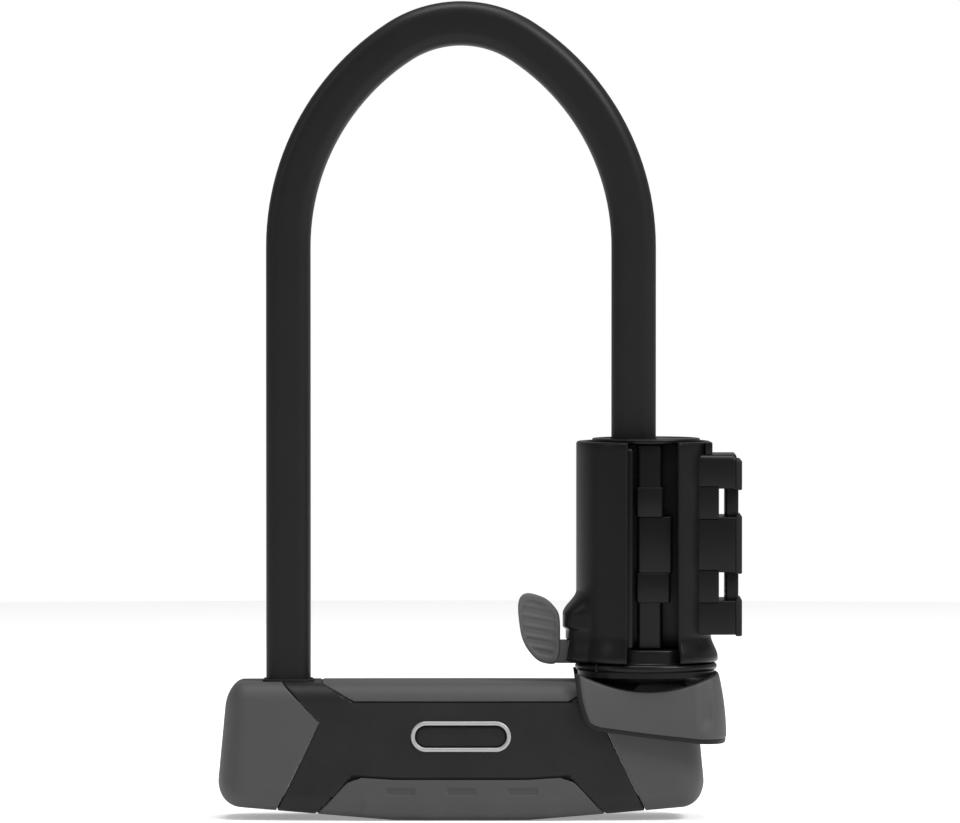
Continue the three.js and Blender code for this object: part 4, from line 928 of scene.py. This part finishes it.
def wall_angle(share, radius):
    """Angle from the front, from the slot's right edge round the back to its left edge."""
    first = math.asin(SLOT_RIGHT / radius)
    last = 2 * math.pi + math.asin(SLOT_LEFT / radius)
    return first + (last - first) * share


def bulge(angle, height):
    """How far the wall swells round the lever: full over its shelf, less under it, and faded above."""
    reach = BULGE_REACH - 1.1 * MM * (1 - smooth(BULGE_SHELF - 0.8 * MM, BULGE_SHELF + 0.4 * MM, height))
    reach = reach * (1 - smooth(BULGE_HEIGHT - 8.5 * MM, BULGE_HEIGHT, height))
    turn = np.degrees(angle) - 273
    return reach * (1 - smooth(14, 36, np.abs(turn)))


def housing():
    """The open tube that grips the spool: an outer and an inner wall, both round about the spool's axis."""
    tall = HOUSING_TOP - HOUSING_FOOT
    along, drawn = eased(tall, WALL_EDGE, 5)
    fine, coarse = np.linspace(2, 30, 57) * MM, np.linspace(34, 76, 12) * MM
    height = np.concatenate([along[:5], fine, coarse, along[5:]])
    edge = np.concatenate([drawn[:5], np.zeros(69), drawn[5:]])
    lip = np.linspace(0, math.pi / 2, 5)
    edge_share = 0.006 * (1 - np.cos(lip))
    share = np.concatenate([edge_share, np.linspace(0.008, 0.992, 170), 1 - edge_share[::-1]])
    edge_drop = WALL_EDGE * (1 - np.sin(lip))
    side_drop = np.concatenate([edge_drop, np.zeros(170), edge_drop[::-1]])
    drop = np.maximum(edge[:, None], side_drop[None, :])
    angle = wall_angle(share, WALL_RADIUS)[None, :]
    level = height[:, None]
    skirt = 1 - smooth(1.5 * MM, SKIRT_HEIGHT, level)
    flare = SKIRT_FLARE * skirt * (1 + np.clip(np.cos(angle), 0, 1))
    slim = SADDLE_SIDE_SLIM * (1 - skirt) * np.clip(np.sin(angle), 0, 1) ** 2
    outer_radius = WALL_RADIUS + flare - slim + bulge(angle, level) - drop
    inner_angle = wall_angle(share, BORE)[None, :]
    outer = polar(outer_radius, angle, level)
    inner = polar(BORE + 0.3 * drop, inner_angle, level)
    parts = [slab(outer, inner)]
    depth = math.sqrt(BORE**2 - SLOT_LEFT**2)
    rail = np.array([SPOOL_X + SLOT_LEFT, -depth, HOUSING_FOOT + tall / 2]) + RAIL_SHIFT
    rail_half = np.array([RAIL_HALF_WIDTH, RAIL_HALF_DEPTH, tall / 2 - RAIL_SHORT])
    parts.append(block(rail, rail_half, 0.6 * MM, 1.0 * MM))
    hook = np.array([SPOOL_X, 0, HOUSING_TOP]) + HOOK_FROM_TOP
    parts.append(block(hook, HOOK_HALF, 0.6 * MM, 0.6 * MM))
    made = solid("bracket_shell", parts, "bracket", ["bracket_housing"], bracket_black)
    pocket = np.array([SPOOL_X, 0, low("lever_pin").z]) + POCKET_FROM_PIN
    cut(made, pocket, POCKET_HALF)


def polar(radius, angle, level):
    """Points about the spool's axis, by radius, angle from the front and height over the housing's foot."""
    x = SPOOL_X + radius * np.sin(angle)
    y = -radius * np.cos(angle)
    z = np.broadcast_to(HOUSING_FOOT + level, x.shape)
    return np.stack([x, y, z], axis=-1)


SADDLE_HALF = 15 * MM
PLATE_FACE = SADDLE_FACE - SPOOL_X - 1.8 * MM
STRAP_HEIGHT = 10.2 * MM
STRAP_PITCH = 30.1 * MM
SLIT_LEFT = 26 * MM
SLIT_WIDTH = 2.4 * MM
SLIT_BAR_HALF = 11 * MM
BAR_FACE = SADDLE_FACE - SPOOL_X - 1.2 * MM


def saddle_loop(face, inset, rounding):
    """Plan of the saddle: two rounded outer corners, and an inner side that follows the housing's wall."""
    half = SADDLE_HALF - inset
    corner = np.linspace(0, math.pi / 2, 6)
    x = face - rounding + rounding * np.sin(corner)
    front = np.stack([x, -half + rounding - rounding * np.cos(corner)], axis=-1)
    back = front[::-1] * [1, -1]
    y = np.linspace(half, -half, 19)
    inner = np.stack([np.sqrt((BORE + 0.6 * MM) ** 2 - y**2), y], axis=-1)
    return np.concatenate([front, back, inner])


def saddle_span(face, foot, top, foot_edge, top_edge, rounding=1.3 * MM):
    """A stretch of the saddle between two heights, with a rounded edge at its foot and its top."""
    turn = np.linspace(0, math.pi / 2, 5)
    z = np.concatenate([foot + foot_edge * (1 - np.cos(turn)), top - top_edge * (1 - np.cos(turn[::-1]))])
    inset = np.concatenate([foot_edge * (1 - np.sin(turn)), top_edge * (1 - np.sin(turn[::-1]))])
    loops = np.stack([saddle_loop(face - 0.25 * drawn, drawn, rounding) for drawn in inset])
    height = np.broadcast_to(z[:, None], loops.shape[:2])
    return tube(np.stack([SPOOL_X + loops[..., 0], loops[..., 1], height], axis=-1))


def saddle():
    """The saddle: three full stretches, and at each strap a web, a slit and a bar that is set back."""
    level = (SADDLE_FOOT + SADDLE_TOP) / 2
    lows = [level - STRAP_PITCH / 2 - STRAP_HEIGHT / 2, level + STRAP_PITCH / 2 - STRAP_HEIGHT / 2]
    stops = [SADDLE_FOOT, lows[0], lows[0] + STRAP_HEIGHT, lows[1], lows[1] + STRAP_HEIGHT, SADDLE_TOP]
    parts = []
    for foot, top in zip(stops[0::2], stops[1::2]):
        is_last = top == SADDLE_TOP
        parts.append(saddle_span(PLATE_FACE, foot, top, 0.6 * MM, 2.4 * MM if is_last else 0.6 * MM))
    for foot in lows:
        web = saddle_span(SLIT_LEFT, foot - MM, foot + STRAP_HEIGHT + MM, 0.1 * MM, 0.1 * MM, 0.2 * MM)
        parts.append(web)
        bar_left = SLIT_LEFT + SLIT_WIDTH
        bar = np.array([SPOOL_X + (bar_left + BAR_FACE) / 2, 0, foot + STRAP_HEIGHT / 2])
        half = np.array([(BAR_FACE - bar_left) / 2, SLIT_BAR_HALF, STRAP_HEIGHT / 2 + MM])
        parts.append(block(bar, half, 0.9 * MM, 0.1 * MM))
    solid("saddle_block", parts, "bracket", ["saddle_plate"], bracket_black)


PAD_OVERLAP = 0.5 * MM


def pads():
    """The three rubber pads on the saddle's face."""
    for place in ("lower", "middle", "upper"):
        node = f"saddle_pad_{place}"
        foot = low(node).z - PAD_OVERLAP
        top = high(node).z + PAD_OVERLAP
        left = SPOOL_X + PLATE_FACE - PAD_OVERLAP
        centre = np.array([(left + SADDLE_FACE) / 2, 0, (foot + top) / 2])
        half = np.array([(SADDLE_FACE - left) / 2, SADDLE_HALF, (top - foot) / 2])
        part = block(centre, half, 0.5 * MM, 0.5 * MM)
        solid(f"saddle_rubber_{place}", [part], "bracket", [node], rubber_black)


# --- release lever --------------------------------------------------------------------------

LEVER_Y = middle("lever_pin", 1)
LEVER_HALF = 2 * MM
EYE_HALF = 2.9 * MM
PAD_MIDDLE = np.array([-39.2, 69.0]) * MM
RIDGE_PITCH = 3.6 * MM
RIDGE_TILT = math.radians(10)


def leaf(steps=96):
    """The thumb pad's outline about its middle: a closed curve through a few corners.

    Between two corners it is the Catmull-Rom cubic of the four nearest ones.
    """
    corners = np.array([
        [-6.9, 8.6], [-4.0, 12.1], [2.6, 10.4], [6.6, 6.7], [8.0, 3.2], [8.2, -4.0],
        [8.1, -9.6], [6.4, -13.1], [2.0, -12.9], [-1.2, -10.9], [-4.4, -6.6], [-6.2, -1.1],
    ]) * MM
    place = np.linspace(0, len(corners), steps, endpoint=False)
    index = place.astype(int)
    t = (place - index)[:, None]
    a, b, c, d = (corners[(index + shift) % len(corners)] for shift in (-1, 0, 1, 2))
    squared = (a - 2.5 * b + 2 * c - d / 2) * t**2
    cubed = (1.5 * (b - c) + (d - a) / 2) * t**3
    return b + (c - a) * t / 2 + squared + cubed


def lever():
    """The lever: a leaf-shaped thumb pad with a raised rim and slanting ridges, an arm and a pivot eye."""
    outline = leaf()
    edge = 0.9 * MM
    turn = np.linspace(0, math.pi / 2, 6)
    reach = 1 - edge / (10 * MM) * (1 - np.sin(turn))
    share = np.concatenate([np.linspace(0.02, 0.9, 44), reach, reach[::-1], np.linspace(0.9, 0.02, 6)])
    front_drop = np.concatenate([np.zeros(44), edge * (1 - np.cos(turn))])
    x = PAD_MIDDLE[0] + share[:, None] * outline[:, 0]
    z = PAD_MIDDLE[1] + share[:, None] * outline[:, 1]
    count = len(front_drop)
    inside = 1 - smooth(0.74, 0.84, share[:count, None])
    across = (z[:count] - PAD_MIDDLE[1]) + (x[:count] - PAD_MIDDLE[0]) * math.tan(RIDGE_TILT)
    ridge = np.maximum(np.cos(2 * math.pi * across / RIDGE_PITCH), -0.2)
    face = -LEVER_HALF + front_drop[:, None] + inside * (0.55 * MM - 0.4 * MM * ridge)
    back = LEVER_HALF - np.concatenate([(edge * (1 - np.cos(turn)))[::-1], np.zeros(6)])
    y = np.concatenate([face, np.broadcast_to(back[:, None], (len(back), outline.shape[0]))])
    curl = 1.6 * MM * ((x - PAD_MIDDLE[0]) / (8 * MM)) ** 2
    pad = tube(np.stack([SPOOL_X + x, LEVER_Y + y - curl * 0.35, z], axis=-1))
    arm_foot = low("release_lever").z + 0.1 * MM
    arm_half = 4.2 * MM
    pin_x = middle("lever_pin", 0)
    pad_right = SPOOL_X + PAD_MIDDLE[0] + 6.5 * MM
    arm = np.array([(pad_right + pin_x) / 2, LEVER_Y, arm_foot + arm_half])
    eye = np.array([pin_x, LEVER_Y, arm_foot + arm_half])
    parts = [
        pad,
        block(arm, np.array([(pin_x - pad_right) / 2, LEVER_HALF, arm_half]), 0.7 * MM, 0.7 * MM),
        block(eye, np.array([EYE_HALF, EYE_HALF, arm_half]), EYE_HALF - 0.1 * MM, 0.5 * MM),
    ]
    solid("thumb_lever", parts, "lever", ["release_lever"], lever_grey)


# --- floor, lights and camera ---------------------------------------------------------------

VIEW_DISTANCE = 3.5
VIEW_PITCH = math.radians(1.69)
VIEW_HEIGHT = 0.1466
VIEW_X = BAR_X + 6.85 * MM
LENS = 364.0


FLOOR_RADIUS = 1.6


def pale_floor():
    """A round pale floor: a ring of points about the middle."""
    turn = np.linspace(0, 2 * math.pi, 96, endpoint=False)
    points = np.stack([FLOOR_RADIUS * np.cos(turn), FLOOR_RADIUS * np.sin(turn), 0 * turn], axis=-1)
    mesh = bpy.data.meshes.new("floor")
    mesh.from_pydata(points.tolist(), [], [list(range(len(points)))])
    floor = bpy.data.objects.new("floor", mesh)
    bpy.context.scene.collection.objects.link(floor)
    material = bpy.data.materials.new("pale_floor")
    material.use_nodes = True
    shader = material.node_tree.nodes["Principled BSDF"]
    shader.inputs["Base Color"].default_value = (0.86, 0.86, 0.86, 1)
    shader.inputs["Roughness"].default_value = 0.9
    shader.inputs["Specular IOR Level"].default_value = 0.1
    shader.inputs["Emission Color"].default_value = (1, 1, 1, 1)
    shader.inputs["Emission Strength"].default_value = 0.3
    mesh.materials.append(material)


def soft_light(name, place, target, size, power):
    """A large area light at a place, turned towards a target."""
    data = bpy.data.lights.new(name, "AREA")
    data.shape = "RECTANGLE"
    data.size, data.size_y = size
    data.energy = power
    light = bpy.data.objects.new(name, data)
    light.location = place
    aim = Vector(target) - Vector(place)
    light.rotation_mode = "QUATERNION"
    light.rotation_quaternion = aim.to_track_quat("-Z", "Y")
    bpy.context.scene.collection.objects.link(light)


ROOM_LIGHT = 0.36


def studio():
    """A white room that lights the lock softly, a key light at the right, a left strip and a top light."""
    world = bpy.data.worlds.new("studio")
    bpy.context.scene.world = world
    world.use_nodes = True
    background = world.node_tree.nodes["Background"]
    background.inputs["Color"].default_value = (1, 1, 1, 1)
    tree = world.node_tree
    path = tree.nodes.new("ShaderNodeLightPath")
    seen = math_node(tree, "MULTIPLY", path.outputs["Is Camera Ray"], 1 - ROOM_LIGHT)
    strength = math_node(tree, "ADD", seen, ROOM_LIGHT)
    tree.links.new(strength, background.inputs["Strength"])
    target = (0, 0, 0.12)
    soft_light("key", (1.2, -0.9, 1.5), target, (0.8, 0.8), 34)
    soft_light("left_strip", (-1.3, -0.5, 0.9), target, (0.3, 1.0), 2.5)
    soft_light("top", (0.0, -0.1, 1.7), target, (1.2, 0.8), 24)


def camera():
    """A long lens, far off and a little above the middle, pitched down."""
    data = bpy.data.cameras.new("camera")
    data.lens = LENS
    data.sensor_width = 36
    data.clip_end = 50
    made = bpy.data.objects.new("camera", data)
    made.location = (VIEW_X, -VIEW_DISTANCE, VIEW_HEIGHT + VIEW_DISTANCE * math.tan(VIEW_PITCH))
    made.rotation_euler = (math.pi / 2 - VIEW_PITCH, 0, 0)
    bpy.context.scene.collection.objects.link(made)
    bpy.context.scene.camera = made


# --- the whole object -----------------------------------------------------------------------

dress_frame()
shackle_coat()
caps = [end_cap("left_cap", -1, cap_grey), end_cap("right_cap", 1, cap_grey)]
covers = [cover("front_skin", -1, "front_cover"), cover("rear_skin", 1, "rear_cover")]
top_strip()
foot_strip()
badge()
leg_collar()
rooms = (COLLAR_HALF + SEAM, high("right_leg_bushing").y + SEAM)
for side, cap, room in zip((-1, 1), caps, rooms):
    passage = np.array([BAR_X + side * LEG_X, 0, BODY_TOP])
    for piece in (cap, *covers):
        cut(piece, passage, np.array([room, room, PASSAGE_HALF_HEIGHT]))
adapter_base()
spool_cap()
spool()
boot()
gasket_and_painted_shadow()
housing()
saddle()
pads()
lever()
pale_floor()
studio()
camera()
bpy.context.scene.view_settings.view_transform = "Standard"
